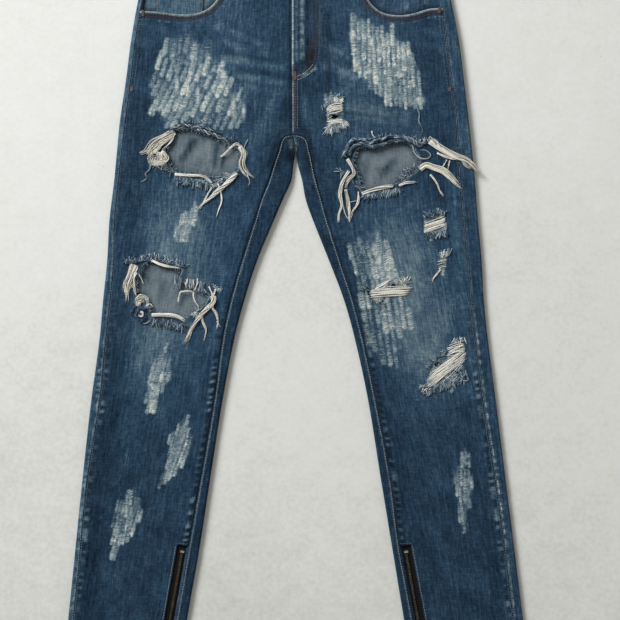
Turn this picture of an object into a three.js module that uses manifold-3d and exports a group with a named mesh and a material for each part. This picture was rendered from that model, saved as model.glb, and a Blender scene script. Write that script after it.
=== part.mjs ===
// Ripped skinny jeans laid flat on a floor, front side up.
// Millimetres. +X is the wearer's left, +Y runs to the waist, +Z is up. The origin is the middle of the
// footprint, on the floor. Every panel is a wall of denim worked out from a few tables of sizes.
import * as THREE from 'three';
import { mergeVertices } from 'three/addons/utils/BufferGeometryUtils.js';
import Module from 'manifold-3d';

const wasm = await Module();
wasm.setup();

// Driving sizes
const denim = 1.2; // one layer of denim
const patch = 1.1; // pockets, facings and loops
const seamGap = 0.3; // parting between neighbouring pieces
const hemY = -518;
const crotchFoldY = 230; // lowest point of the crotch between the legs
const frontCrotchY = 253; // where the inseams meet on the front
const centreFrontX = -4;
const flyEndY = 330;
const flyStartY = 345;
const flyUnderlap = 16; // how far the right front runs under the left one
const flyLift = 1.6; // how far the left front rises over the right one
const sideSeamTopY = 478;
const frontDip = 12; // the waist seam is lower at the centre front
const backRise = 2; // and higher at the centre back
const bandHeight = 38;
const bandWall = 2.2;
const bandHalf = 202; // half the flat waist at the waist seam
const bandTaper = 0.17;
const foldRadius = 3.5; // rounded edge of a flattened leg
const crotchFoldRadius = 1.8;
const hipLift = 1.4; // the seat lies on the back pockets
const legMid = 3.8; // height of the front in the middle of a leg
const hipMid = 7.2; // and over the pocket bags
const loftReach = 22; // how far from a seam the rounded edge dies away
const yokeSideY = 445;
const yokeCentreY = 412;
const yokeReach = 186; // the yoke seam is level from here to the side seam
const zipWidth = 16.5;
const zipTopY = -302;
const ripSteps = 26;

const blueDenim = new THREE.Color(0.1, 0.16, 0.23);
const cloth = { color: blueDenim, roughness: 0.9, metalness: 0 };
const creamYarn = { color: new THREE.Color(0.72, 0.7, 0.64), roughness: 0.95, metalness: 0 };
const zipTapeCloth = { color: new THREE.Color(0.03, 0.03, 0.035), roughness: 0.85, metalness: 0 };
const darkBrass = { color: new THREE.Color(0.16, 0.13, 0.1), roughness: 0.45, metalness: 1 };

// Outlines as distances from the centre line to the outer edge and to the side seam of each leg
const outerTable = {
  columns: ['y', 'rightEdge', 'rightSeam', 'leftEdge', 'leftSeam'],
  rows: [
    [478, 202, 197, 201, 191],
    [434, 212.5, 207, 210, 197.5],
    [380, 222, 216.5, 220.5, 203.5],
    [326, 229, 223, 227.5, 210.5],
    [272, 237, 230, 234, 217],
    [231, 241, 235, 238.5, 219.5],
    [191, 245, 239.5, 242.5, 222],
    [137, 251.5, 245, 246.5, 227.5],
    [83, 254.5, 246, 251.5, 232.5],
    [29, 260, 251, 254.5, 237],
    [-25, 265, 257, 260, 243.5],
    [-106, 276, 265, 270.5, 253.5],
    [-214, 288, 282, 284, 270.5],
    [-322, 299, 292.5, 297.5, 285],
    [-430, 310, 303.5, 310.5, 298],
    [-518, 319, 312.5, 319, 307],
  ],
};

// The same for the inner edge of each leg and its inseam, which lies on the front
const innerTable = {
  columns: ['y', 'rightEdge', 'rightSeam', 'leftEdge', 'leftSeam'],
  rows: [
    [253, 0.2, 4.15, 0.2, -3.85],
    [249, 0.2, 15.5, 0.2, 11.5],
    [230, 0.2, 22.5, 0.4, 19],
    [211, 3, 29, 3.4, 23],
    [191, 5.5, 35, 8.8, 27.5],
    [164, 17.5, 45.5, 14, 35],
    [137, 29, 54, 23.5, 42.5],
    [83, 51.5, 71, 45, 59.5],
    [29, 69, 86.5, 65.5, 77],
    [-25, 83, 98, 80.5, 91],
    [-106, 98.5, 109, 98, 108],
    [-214, 115.5, 127.5, 115.5, 128],
    [-302, 129, 143, 130, 139.5],
    [-402, 146.5, 160.5, 146.5, 158],
    [-518, 166, 181, 166, 178],
  ],
};

// Broad soft folds of the front: a ridge line from one point to another, its half width and its height
const foldTable = {
  columns: ['fromX', 'fromY', 'toX', 'toY', 'halfWidth', 'height'],
  rows: [
    [-30, 262, -150, 330, 24, 1.4],
    [24, 262, 140, 322, 24, 1.4],
    [-130, 120, -190, -20, 30, 1.1],
    [110, 90, 190, -10, 30, 1.1],
    [-180, -120, -250, -250, 28, 0.9],
    [170, -110, 240, -260, 28, 0.9],
  ],
};

// Rips cut through the fronts: rim points in order, drawn on as a smooth loop
const ripTable = [
  {
    leg: 'right',
    fray: 'fray_thigh_right',
    rim: [
      [-163, 257], [-142, 260], [-127, 255], [-107, 249], [-96, 241], [-76, 230], [-76, 211],
      [-82, 200], [-111, 196], [-136, 199], [-161, 202], [-172, 216], [-175, 232],
    ],
  },
  {
    leg: 'right',
    fray: 'fray_knee_right',
    rim: [
      [-197, 81], [-174, 77], [-153, 69], [-157, 56], [-138, 49], [-128, 39], [-117, 36],
      [-123, 22], [-145, 7], [-168, 6], [-192, 10], [-201, 27], [-215, 37], [-214, 60],
    ],
  },
  {
    leg: 'left',
    fray: 'fray_thigh_left',
    rim: [
      [79, 222], [84, 232], [103, 237], [137, 243], [154, 239], [164, 227], [169, 211], [155, 196],
      [133, 185], [110, 179], [90, 174], [86, 195], [80, 209],
    ],
  },
  { leg: 'left', rim: [[46, 276], [52, 279], [58, 276], [52, 273]] },
  { leg: 'left', rim: [[96, 41], [99, 46], [102, 41], [99, 35]] },
  { leg: 'left', rim: [[112, 25], [116, 29], [120, 26], [116, 22]] },
  { leg: 'left', rim: [[129, 47], [132, 51], [136, 48], [132, 44]] },
  { leg: 'left', rim: [[187, -58], [193, -55], [198, -59], [192, -62]] },
  { leg: 'left', rim: [[210, -69], [215, -66], [221, -69], [215, -72]] },
];

// Loose locks of yarn: the rim they are rooted in, the way they lie, how many strands and how far apart
const lockTable = {
  columns: ['fray', 'rootX', 'rootY', 'bendX', 'bendY', 'tipX', 'tipY', 'strands', 'spread', 'radius'],
  rows: [
    ['fray_thigh_right', -175, 238, -190, 236, -206, 226, 4, 10, 0.8],
    ['fray_thigh_right', -173, 220, -184, 219, -197, 214, 2, 5, 0.8],
    ['fray_thigh_right', -76, 224, -68, 212, -58, 186, 3, 7, 0.9],
    ['fray_thigh_right', -82, 200, -100, 184, -122, 157, 2, 4, 0.8],
    ['fray_thigh_right', -108, 196, -107, 175, -106, 132, 1, 0, 0.7],
    ['fray_thigh_right', -162, 202, -138, 195, -115, 189, 1, 0, 1],
    ['fray_knee_right', -214, 62, -224, 48, -227, 26, 3, 8, 0.8],
    ['fray_knee_right', -202, 27, -206, 18, -212, 8, 2, 6, 1],
    ['fray_knee_right', -190, 10, -170, 2, -150, -1, 1, 0, 1.2],
    ['fray_knee_right', -153, 70, -172, 81, -192, 85, 1, 0, 0.9],
    ['fray_knee_right', -122, 22, -134, 2, -152, -38, 2, 4, 0.9],
    ['fray_knee_right', -120, 26, -119, 5, -121, -25, 1, 0, 0.8],
    ['fray_knee_right', -116, 34, -108, 15, -104, -14, 1, 0, 0.8],
    ['fray_knee_right', -138, 49, -150, 41, -160, 26, 1, 0, 0.7],
    ['fray_thigh_left', 80, 209, 65, 178, 58, 135, 2, 4, 0.9],
    ['fray_thigh_left', 86, 193, 74, 168, 72, 136, 1, 0, 0.9],
    ['fray_thigh_left', 89, 176, 85, 157, 80, 143, 1, 0, 0.8],
    ['fray_thigh_left', 158, 236, 205, 226, 258, 195, 3, 8, 0.9],
    ['fray_thigh_left', 169, 213, 195, 204, 226, 178, 3, 6, 0.9],
    ['fray_thigh_left', 164, 203, 180, 186, 196, 166, 1, 0, 0.7],
    ['fray_thigh_left', 92, 174, 112, 173, 131, 180, 1, 0, 1.1],
    ['fray_thigh_left', 138, 187, 150, 187, 160, 191, 1, 0, 0.9],
  ],
};

// Short rows of bare weft across the smaller tears, held by a narrow strip at one end
const weftTable = {
  columns: ['node', 'leg', 'stripX', 'stripY', 'endX', 'endY', 'strands', 'pitch', 'radius'],
  rows: [
    ['fray_knee_left', 'left', 154, 39, 104, 36, 4, 2.6, 0.7],
    ['fray_shin_left', 'left', 222, -62, 182, -50, 4, 3, 0.7],
    ['fray_side_left', 'left', 201, 136, 179, 131, 5, 2.6, 0.7],
  ],
};

const smooth = (t) => {
  const s = Math.min(1, Math.max(0, t));
  return s * s * (3 - 2 * s);
};

// Reads a column of a table at any y, on a smooth curve through its rows
function readTable(table, column, y) {
  const index = table.columns.indexOf(column);
  const rows = table.rows;
  let low = 0;
  while (low < rows.length - 2 && y < rows[low + 1][0]) low += 1;
  const slopeAt = (k) => {
    const before = rows[Math.max(0, k - 1)];
    const after = rows[Math.min(rows.length - 1, k + 1)];
    return (after[index] - before[index]) / (after[0] - before[0]);
  };
  const [start, end] = [rows[low], rows[low + 1]];
  const span = end[0] - start[0];
  const t = Math.min(1, Math.max(0, (y - start[0]) / span));
  const curve = (2 * t ** 3 - 3 * t ** 2 + 1) * start[index] + (3 * t ** 2 - 2 * t ** 3) * end[index];
  const pull = (t ** 3 - 2 * t ** 2 + t) * slopeAt(low) + (t ** 3 - t ** 2) * slopeAt(low + 1);
  return curve + span * pull;
}

const rowsOf = (table) => table.rows.map(
  (row) => Object.fromEntries(table.columns.map((name, k) => [name, row[k]])),
);
const signOf = { right: -1, left: 1 };
const outerEdge = (leg, y) => readTable(outerTable, `${leg}Edge`, y);
const outseam = (leg, y) => readTable(outerTable, `${leg}Seam`, y);
const innerEdge = (leg, y) => readTable(innerTable, `${leg}Edge`, y);
const inseam = (leg, y) => readTable(innerTable, `${leg}Seam`, y);

// Heights of the layers
const baseHeight = (y) => hipLift * smooth((y - 190) / 30);
const innerRadius = (y) => (
  crotchFoldRadius + (foldRadius - crotchFoldRadius) * smooth((crotchFoldY - y) / 70)
);
const frontWaistY = (x) => sideSeamTopY - frontDip * (1 - (Math.abs(x) / bandHalf) ** 2);
const backWaistY = (x) => sideSeamTopY + backRise * (1 - (Math.abs(x) / bandHalf) ** 2);
const yokeSeamY = (x) => yokeCentreY + (yokeSideY - yokeCentreY) * Math.min(1, Math.abs(x) / yokeReach);

function foldHeight(x, y) {
  return rowsOf(foldTable).reduce((sum, fold) => {
    const along = new THREE.Vector2(fold.toX - fold.fromX, fold.toY - fold.fromY);
    const from = new THREE.Vector2(x - fold.fromX, y - fold.fromY);
    const t = from.dot(along) / along.lengthSq();
    if (t <= 0 || t >= 1) return sum;
    const off = Math.abs(from.cross(along)) / along.length();
    return sum + fold.height * Math.sin(Math.PI * t) * Math.exp(-((off / fold.halfWidth) ** 2));
  }, 0);
}

// Outer surface of the front of one leg: sunk in the middle, rounded up to the seams
function frontTop(leg, x, y) {
  const side = signOf[leg];
  const outward = side * x;
  const hip = smooth((y - crotchFoldY) / 100);
  const middle = baseHeight(y) + legMid + (hipMid - hipLift - legMid) * hip;
  const outerLoft = baseHeight(y) + 2 * foldRadius - middle;
  const innerLoft = baseHeight(y) + 2 * innerRadius(y) - middle;
  const outerAway = outseam(leg, y) - outward;
  const innerAway = outward - inseam(leg, Math.min(y, frontCrotchY));
  const nearInner = 1 - smooth((y - crotchFoldY) / 23);
  const fly = leg === 'left' ? flyLift * smooth((y - 300) / 30) * smooth((44 - x) / 22) : 0;
  return middle + fly + foldHeight(x, y)
    + outerLoft * Math.exp(-((outerAway / loftReach) ** 2))
    + innerLoft * nearInner * Math.exp(-((innerAway / loftReach) ** 2));
}

// A closed wall of cloth under a grid of surface points, whose rows may differ in length. facing is 1 where
// columns, rows and the outside of the cloth make a right-handed set, and -1 where they make a left-handed one.
function clothSheet(grid, wall, facing) {
  const rowCount = grid.length;
  const columnCount = Math.max(...grid.map((row) => row.length));
  const key = (j, i) => j * columnCount + i;
  const normals = new Map();
  const faces = [];
  for (let j = 0; j < rowCount - 1; j += 1) {
    for (let i = 0; i < columnCount - 1; i += 1) {
      const corners = [[j, i], [j, i + 1], [j + 1, i + 1], [j + 1, i]];
      if (corners.some(([r, k]) => !grid[r][k])) continue;
      const [a, b, c, d] = corners.map(([r, k]) => grid[r][k]);
      const across = c.clone().sub(a);
      const normal = across.cross(d.clone().sub(b)).normalize().multiplyScalar(facing);
      corners.forEach(([r, k]) => {
        const sum = normals.get(key(r, k)) ?? new THREE.Vector3();
        normals.set(key(r, k), sum.add(normal));
      });
      const loop = corners.map(([r, k]) => key(r, k));
      const ordered = facing > 0 ? loop : [...loop].reverse();
      faces.push([ordered[0], ordered[1], ordered[2]], [ordered[0], ordered[2], ordered[3]]);
    }
  }
  const keys = [...normals.keys()];
  const order = new Map(keys.map((name, k) => [name, k]));
  const outer = keys.map((name) => grid[Math.floor(name / columnCount)][name % columnCount]);
  const inner = keys.map(
    (name, k) => outer[k].clone().addScaledVector(normals.get(name).normalize(), -wall),
  );
  const shift = keys.length;
  const triangles = [];
  const edges = new Set(faces.flatMap(([a, b, c]) => [`${a} ${b}`, `${b} ${c}`, `${c} ${a}`]));
  faces.forEach((face) => {
    const [a, b, c] = face.map((name) => order.get(name));
    triangles.push(a, b, c, shift + c, shift + b, shift + a);
    face.forEach((name, k) => {
      const next = face[(k + 1) % 3];
      if (edges.has(`${next} ${name}`)) return;
      const [p, q] = [order.get(name), order.get(next)];
      triangles.push(q, p, shift + p, q, shift + p, shift + q);
    });
  });
  return fromTriangles([...outer, ...inner], triangles);
}

function fromTriangles(points, triangles) {
  const geometry = new THREE.BufferGeometry().setFromPoints(points);
  geometry.setIndex(triangles);
  return geometry;
}

function toSolid(geometry) {
  const bare = geometry.clone();
  ['normal', 'uv'].forEach((name) => bare.deleteAttribute(name));
  const merged = mergeVertices(bare, 1e-4);
  return new wasm.Manifold(new wasm.Mesh({
    numProp: 3,
    vertProperties: new Float32Array(merged.attributes.position.array),
    triVerts: new Uint32Array(merged.index.array),
  }));
}

function fromSolid(solid) {
  const mesh = solid.getMesh();
  const geometry = new THREE.BufferGeometry();
  geometry.setAttribute('position', new THREE.BufferAttribute(new Float32Array(mesh.vertProperties), 3));
  geometry.setIndex(new THREE.BufferAttribute(new Uint32Array(mesh.triVerts), 1));
  return geometry;
}

const jeans = new THREE.Group();

function place(name, geometry, finish, parent = jeans) {
  geometry.computeVertexNormals();
  const mesh = new THREE.Mesh(geometry, new THREE.MeshStandardMaterial(finish));
  mesh.name = name;
  parent.add(mesh);
  return mesh;
}

const spaced = (start, end, count) => Array.from(
  { length: count + 1 },
  (_, k) => start + ((end - start) * k) / count,
);

// A flat outline extruded upwards from z = bottom
function slab(outline, bottom, height) {
  const shape = new THREE.Shape(outline.map(([x, y]) => new THREE.Vector2(x, y)));
  return new THREE.ExtrudeGeometry(shape, { depth: height, bevelEnabled: false }).translate(0, 0, bottom);
}

// Rows of every leg from the hem to just below the crotch
const thighTopY = 164;
const legRows = [...spaced(hemY, thighTopY, 15), 191, 211, 222, crotchFoldY];
const seatRows = [276, 300, flyEndY, flyStartY, 380, yokeCentreY, yokeSideY];

// Height on the front at which a row of the back meets the inseam: it slants up to the crotch point
const seamLevel = (level) => {
  const rise = frontCrotchY - crotchFoldY;
  return level + rise * smooth((level - crotchFoldY + 80) / 80);
};

// Smooth rim of a rip, in even steps
function rimLoop(rim) {
  const points = rim.map(([x, y]) => new THREE.Vector3(x, y, 0));
  const steps = rim.length > 6 ? ripSteps : 8;
  return new THREE.CatmullRomCurve3(points, true, 'centripetal').getSpacedPoints(steps).slice(0, steps);
}

// Pocket mouth: a scoop from the waist seam down to the side seam, through rows of distance out and height
const mouthRows = {
  right: [[88, 480], [96, 452], [107, 433], [119, 421.5], [137, 415], [158, 414.3], [190, 418], [212, 418.5]],
  left: [[91, 480], [94, 455], [99, 434], [108, 423], [121, 415.5], [142, 413], [160, 415.7], [180, 421.5], [204, 422.5]],
};
const mouthSteps = 16;

function mouthOutline(leg) {
  const side = signOf[leg];
  const points = mouthRows[leg].map(([out, y]) => new THREE.Vector3(side * out, y, 0));
  const edge = new THREE.CatmullRomCurve3(points, false, 'centripetal').getSpacedPoints(mouthSteps);
  const beyond = 40;
  const waistEnd = edge[0];
  const sideEnd = edge[mouthSteps];
  return [
    [waistEnd.x, sideSeamTopY + beyond],
    ...edge.map((p) => [p.x, p.y]),
    [sideEnd.x + side * beyond, sideEnd.y],
    [sideEnd.x + side * beyond, sideSeamTopY + beyond],
  ];
}

// Slot for the ankle zip, along the inseam from the zip's top to past the hem
function zipSlot(leg) {
  const side = signOf[leg];
  const past = 10;
  const levels = [zipTopY, -402, hemY];
  const outer = levels.map((y) => [side * (inseam(leg, y) + zipWidth), y]);
  const inner = levels.map((y) => [side * (inseam(leg, y) - past), y]);
  outer.push([outer[2][0], hemY - past]);
  inner.push([inner[2][0], hemY - past]);
  return [...outer, ...inner.reverse()];
}

function frontPanel(leg) {
  const side = signOf[leg];
  const easedColumns = spaced(0, 1, 10).map((t) => 0.5 - 0.5 * Math.cos(Math.PI * t));
  const levels = [...legRows.map(seamLevel), ...seatRows, sideSeamTopY];
  const flyEdge = leg === 'right' ? -centreFrontX - flyUnderlap : centreFrontX - 0.7;
  const centreEdge = side * centreFrontX + seamGap / 2;
  const grid = levels.map((level) => {
    const flySide = level >= flyStartY ? flyEdge : centreEdge;
    const innerSide = level < frontCrotchY ? inseam(leg, level) + seamGap : flySide;
    return easedColumns.map((t) => {
      const outward = (outseam(leg, level) - seamGap) * (1 - t) + innerSide * t;
      const x = side * outward;
      const upper = Math.max(0, (level - yokeCentreY) / (sideSeamTopY - yokeCentreY));
      const y = level + upper * (frontWaistY(x) - seamGap - sideSeamTopY);
      return new THREE.Vector3(x, y, frontTop(leg, x, y));
    });
  });
  const cutBottom = -10;
  const cutHeight = 40;
  const rips = ripTable.filter((rip) => rip.leg === leg);
  const cuts = rips.map((rip) => rimLoop(rip.rim).map((p) => [p.x, p.y]));
  cuts.push(mouthOutline(leg), zipSlot(leg));
  const solid = cuts.reduce(
    (panel, outline) => panel.subtract(toSolid(slab(outline, cutBottom, cutHeight))),
    toSolid(clothSheet(grid, denim, -side)),
  );
  place(`front_${leg}`, fromSolid(solid), cloth);
}

// Columns of a back section that lie on the front, before the fold turns under
const frontColumns = 4;

// Half round of a folded edge in five points, from top to bottom, as shares of its radius out and up
const halfRound = spaced(0, Math.PI, 4).map((angle) => [Math.sin(angle), 1 + Math.cos(angle)]);

// Back of one leg across its width: out from the side seam, round the edge and along the floor
function backSection(leg, level, bottomEnd) {
  const base = baseHeight(level);
  const edge = outerEdge(leg, level) - foldRadius;
  const seam = outseam(leg, level);
  const flange = [[seam, base + 2 * foldRadius], [(seam + edge) / 2, base + 2 * foldRadius]];
  const fold = halfRound.map(([out, up]) => [edge + foldRadius * out, base + foldRadius * up]);
  const floor = spaced(edge, bottomEnd, 6).slice(1).map((x) => [x, base]);
  return [...flange, ...fold, ...floor];
}

// The rest of that section on a leg: round the inner edge and back over the front to the inseam
function innerFlange(leg, level) {
  const base = baseHeight(level);
  const radius = innerRadius(level);
  const edge = innerEdge(leg, level) + radius;
  const seamY = seamLevel(level);
  const seam = inseam(leg, seamY);
  const rising = [...halfRound].reverse().slice(1);
  const round = rising.map(([out, up]) => [edge - radius * out, level, base + radius * up]);
  const top = base + 2 * radius;
  return [...round, [(edge + seam) / 2, (level + seamY) / 2, top], [seam, seamY, top]];
}

function backPanel(leg) {
  const side = signOf[leg];
  const centre = seamGap / 2;
  const legGrid = legRows.map((level) => {
    const floorEnd = innerEdge(leg, level) + innerRadius(level);
    const outerPart = backSection(leg, level, floorEnd).map(([out, z]) => [out, level, z]);
    const whole = [...outerPart, ...innerFlange(leg, level)];
    return whole.map(([out, y, z]) => new THREE.Vector3(side * out, y, z));
  });
  const seatGrid = seatRows.map((level) => {
    const share = (level - crotchFoldY) / (yokeSideY - crotchFoldY);
    return backSection(leg, level, centre).map(([out, z]) => {
      const y = crotchFoldY + share * (yokeSeamY(out) - crotchFoldY);
      return new THREE.Vector3(side * out, y, z);
    });
  });
  place(`back_${leg}`, clothSheet([...legGrid, ...seatGrid], denim, side), cloth);
}

function yoke(leg) {
  const side = signOf[leg];
  const grid = spaced(0, 1, 2).map((share) => {
    const level = yokeSideY + share * (sideSeamTopY - yokeSideY);
    return backSection(leg, level, seamGap / 2).map(([out, z], column) => {
      const across = Math.min(out, bandHalf);
      const low = yokeSeamY(out) + seamGap;
      const high = (column < frontColumns ? frontWaistY(across) : backWaistY(across)) - seamGap;
      return new THREE.Vector3(side * out, low + share * (high - low), z);
    });
  });
  place(`yoke_${leg}`, clothSheet(grid, denim, side), cloth);
}

function backPocket(leg) {
  const side = signOf[leg];
  const outline = [[38, 380], [172, 392], [168, 268], [108, 236], [44, 256]];
  const ordered = side > 0 ? outline : [...outline].reverse();
  place(`back_pocket_${leg}`, slab(ordered.map(([x, y]) => [side * x, y]), 0, patch), cloth);
}

// Waistband: from its left front end round the back to the end that runs under the fly
const bandFrontTop = hipMid + 0.6;
const bandLapEnd = 34;
const bandLapFlat = 56;
const bandLift = bandWall + seamGap;
const lapShare = (x) => 1 - smooth((x - bandLapEnd) / (bandLapFlat - bandLapEnd));
const bandTop = (x, isLeft) => bandFrontTop + (isLeft ? bandLift * lapShare(x) : 0);

function waistband() {
  const radius = (bandFrontTop - hipLift) / 2;
  const heights = spaced(0, 1, 2);
  const edge = bandHalf - radius;
  const front = [0, 0.12, 0.2, 0.3, 0.5, 0.7, 0.88, 1];
  const grid = heights.map((share) => {
    const high = share * bandHeight;
    const side = edge - bandTaper * high;
    const lapStart = centreFrontX - 0.7;
    const leftFront = front.map((t) => lapStart + t * (side - lapStart));
    const rightFront = front.map((t) => bandLapEnd - 4 - t * (side + bandLapEnd - 4)).reverse();
    const round = (sign) => halfRound.slice(1, -1).map(([out, up]) => [
      sign * (side + radius * out), sideSeamTopY + high, hipLift + radius * up,
    ]);
    return [
      ...leftFront.map((x) => [x, frontWaistY(x) + high, bandTop(x, true)]),
      ...round(1),
      ...spaced(side, -side, 12).map((x) => [x, backWaistY(x) + high, hipLift]),
      ...round(-1).reverse(),
      ...rightFront.map((x) => [x, frontWaistY(x) + high, bandTop(x, false)]),
    ].map(([x, y, z]) => new THREE.Vector3(x, y, z));
  });
  place('waistband', clothSheet(grid, bandWall, 1), cloth);
}

// Belt loops: straps across the band, two on the front and three under the back
function beltLoops() {
  const halfWidth = 6;
  const inset = 2;
  const strap = (x, low) => [
    [x - halfWidth, low + inset], [x + halfWidth, low + inset],
    [x + halfWidth, low + bandHeight - inset], [x - halfWidth, low + bandHeight - inset],
  ];
  const frontZ = bandFrontTop + seamGap;
  const loops = { front_right: [-105, true], front_left: [105, true] };
  Object.assign(loops, { back_right: [-112, false], back_centre: [0, false], back_left: [112, false] });
  Object.entries(loops).forEach(([where, [x, isFront]]) => {
    const low = isFront ? frontWaistY(x) : backWaistY(x);
    place(`belt_loop_${where}`, slab(strap(x, low), isFront ? frontZ : 0, patch), cloth);
  });
}

function waistButton() {
  const profile = [[0, 0], [7.6, 0], [8.5, 0.9], [8.5, 2], [7.4, 3], [4, 2.6], [0, 2.6]];
  const geometry = new THREE.LatheGeometry(profile.map(([r, z]) => new THREE.Vector2(r, z)), 20);
  const x = 9;
  const mesh = place('button', geometry.rotateX(Math.PI / 2), darkBrass);
  mesh.position.set(x, frontWaistY(x) + bandHeight / 2, bandFrontTop + bandLift + seamGap);
}

// Pocket facings seen in the mouths, and the coin pocket sewn on the right one
const facingZ = hipLift + denim + 0.4;

function pocketFacing(leg) {
  const side = signOf[leg];
  const reach = 140;
  const low = 392;
  const insideX = outseam(leg, sideSeamTopY) - reach;
  const outline = [[insideX, low + 12], [insideX + 30, low], [outseam(leg, low) - 1, low]];
  outline.push([outseam(leg, 434) - 1, 434], [outseam(leg, sideSeamTopY) - 1, sideSeamTopY - 1]);
  outline.push([insideX, frontWaistY(insideX) - 1]);
  const ordered = side > 0 ? outline : [...outline].reverse();
  place(`pocket_facing_${leg}`, slab(ordered.map(([x, y]) => [side * x, y]), facingZ, patch), cloth);
}

function coinPocket() {
  const outline = [[-188, 400], [-126, 400], [-122, 458], [-187, 461]];
  place('coin_pocket', slab(outline, facingZ + patch + seamGap, patch), cloth);
}

// Ankle zip, built along its own +Y from the hem towards the knee, its foot at the slider
const zip = {
  length: 206, tapeOver: 3, tape: 0.8, tapeZ: 2.8, chainWidth: 4.6, chain: 1.6, stop: 3,
  sliderWidth: 9, sliderLength: 13, sliderHeight: 3, lug: 1.4, lugLength: 4, lugHeight: 3.6,
  pinRadius: 0.7, eyeRadius: 1.7, eyeHole: 1.1, eyeWidth: 3.6, tabLength: 24, tabWidth: 4.4, tabWall: 1.2,
};
const zipFaceZ = zip.tapeZ + zip.tape + seamGap;
const pinZ = zipFaceZ + zip.sliderHeight + zip.eyeRadius + 0.4;

const block = (width, length, height, x, y, z) => (
  new THREE.BoxGeometry(width, length, height).translate(x, y, z + height / 2)
);
const rodAcross = (radius, width, z) => (
  new THREE.CylinderGeometry(radius, radius, width, 12).rotateZ(Math.PI / 2).translate(0, 0, z)
);

function zipFrame(leg) {
  const side = signOf[leg];
  const footY = hemY + 14;
  const foot = new THREE.Vector2(side * (inseam(leg, footY) + zipWidth / 2), footY);
  const head = new THREE.Vector2(side * (inseam(leg, zipTopY) + zipWidth / 2), zipTopY);
  const frame = new THREE.Group();
  frame.position.set(foot.x, foot.y, 0);
  frame.rotation.z = Math.atan2(foot.x - head.x, head.y - foot.y);
  return frame;
}

function ankleZip(leg) {
  const frame = zipFrame(leg);
  jeans.add(frame);
  const sliderEnd = zip.sliderLength / 2 + seamGap;
  const chainEnd = zip.length - 12;
  const tapeWidth = zipWidth + 2 * zip.tapeOver;
  const tape = block(tapeWidth, zip.length, zip.tape, 0, zip.length / 2 - 9, zip.tapeZ);
  place(`zip_tape_${leg}`, tape, zipTapeCloth, frame);
  const chainLength = chainEnd - sliderEnd;
  const chain = block(zip.chainWidth, chainLength, zip.chain, 0, sliderEnd + chainLength / 2, zipFaceZ);
  place(`zip_chain_${leg}`, chain, darkBrass, frame);
  const stopY = chainEnd + seamGap + zip.stop / 2;
  place(`zip_stop_${leg}`, block(5.4, zip.stop, 1.9, 0, stopY, zipFaceZ), darkBrass, frame);

  const lugX = zip.eyeWidth / 2 + 0.4 + zip.lug / 2;
  const lugZ = zipFaceZ + zip.sliderHeight - 0.2;
  const body = block(zip.sliderWidth, zip.sliderLength, zip.sliderHeight, 0, 0, zipFaceZ);
  const slider = [-lugX, lugX].reduce(
    (solid, x) => solid.add(toSolid(block(zip.lug, zip.lugLength, zip.lugHeight, x, 0, lugZ))),
    toSolid(body),
  ).add(toSolid(rodAcross(zip.pinRadius, 2 * lugX, pinZ)));
  place(`zip_slider_${leg}`, fromSolid(slider), darkBrass, frame);

  const plateStart = 1.2;
  const plateY = plateStart + zip.tabLength / 2;
  const neck = block(zip.eyeWidth, zip.tabLength, zip.tabWall, 0, plateY, pinZ - zip.tabWall / 2);
  const grip = block(zip.tabWidth, zip.tabLength - 8, zip.tabWall, 0, plateY + 4, pinZ - zip.tabWall / 2);
  const tab = toSolid(rodAcross(zip.eyeRadius, zip.eyeWidth, pinZ))
    .add(toSolid(neck))
    .add(toSolid(grip))
    .subtract(toSolid(rodAcross(zip.eyeHole, 2 * zip.eyeWidth, pinZ)));
  place(`pull_tab_${leg}`, fromSolid(tab), darkBrass, frame);
}

// One strand of yarn with four sides, thinner towards its tip
function strand(points, radius) {
  const curve = new THREE.CatmullRomCurve3(points, false, 'centripetal');
  const steps = 5;
  const up = new THREE.Vector3(0, 0, 1);
  const rings = spaced(0, 1, steps).flatMap((t) => {
    const centre = curve.getPoint(t);
    const across = curve.getTangent(t).cross(up).normalize();
    const size = radius * (1 - 0.5 * t * t);
    return [[across, 1], [up, 1], [across, -1], [up, -1]].map(
      ([way, sign]) => centre.clone().addScaledVector(way, sign * size),
    );
  });
  const triangles = [0, 1, 2, 0, 2, 3];
  const last = 4 * steps;
  triangles.push(last, last + 2, last + 1, last, last + 3, last + 2);
  for (let k = 0; k < steps; k += 1) {
    for (let n = 0; n < 4; n += 1) {
      const [a, b] = [4 * k + n, 4 * k + ((n + 1) % 4)];
      triangles.push(a, a + 4, b, b, a + 4, b + 4);
    }
  }
  return fromTriangles(rings, triangles);
}

// Frayed rim: a narrow ring just inside a rip, level with the cloth, from which the locks fan out
const hover = 0.8; // the locks lie this far above the cloth
const ringWidth = 1.2;
const ringDrop = 0.8;
const ringRise = 1.8;
const rootPitch = 0.3; // spacing of a lock's roots, as a share of a rim step
const overhangSlope = 0.28; // fall of a lock past the edge of the leg

function lockHeight(leg, x, y, radius) {
  const past = Math.abs(x) - outerEdge(leg, y);
  const beyondSeam = Math.abs(x) > outseam(leg, y);
  const surface = beyondSeam ? baseHeight(y) + 2 * foldRadius : frontTop(leg, x, y);
  return surface + hover + radius - overhangSlope * Math.max(0, past);
}

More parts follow.
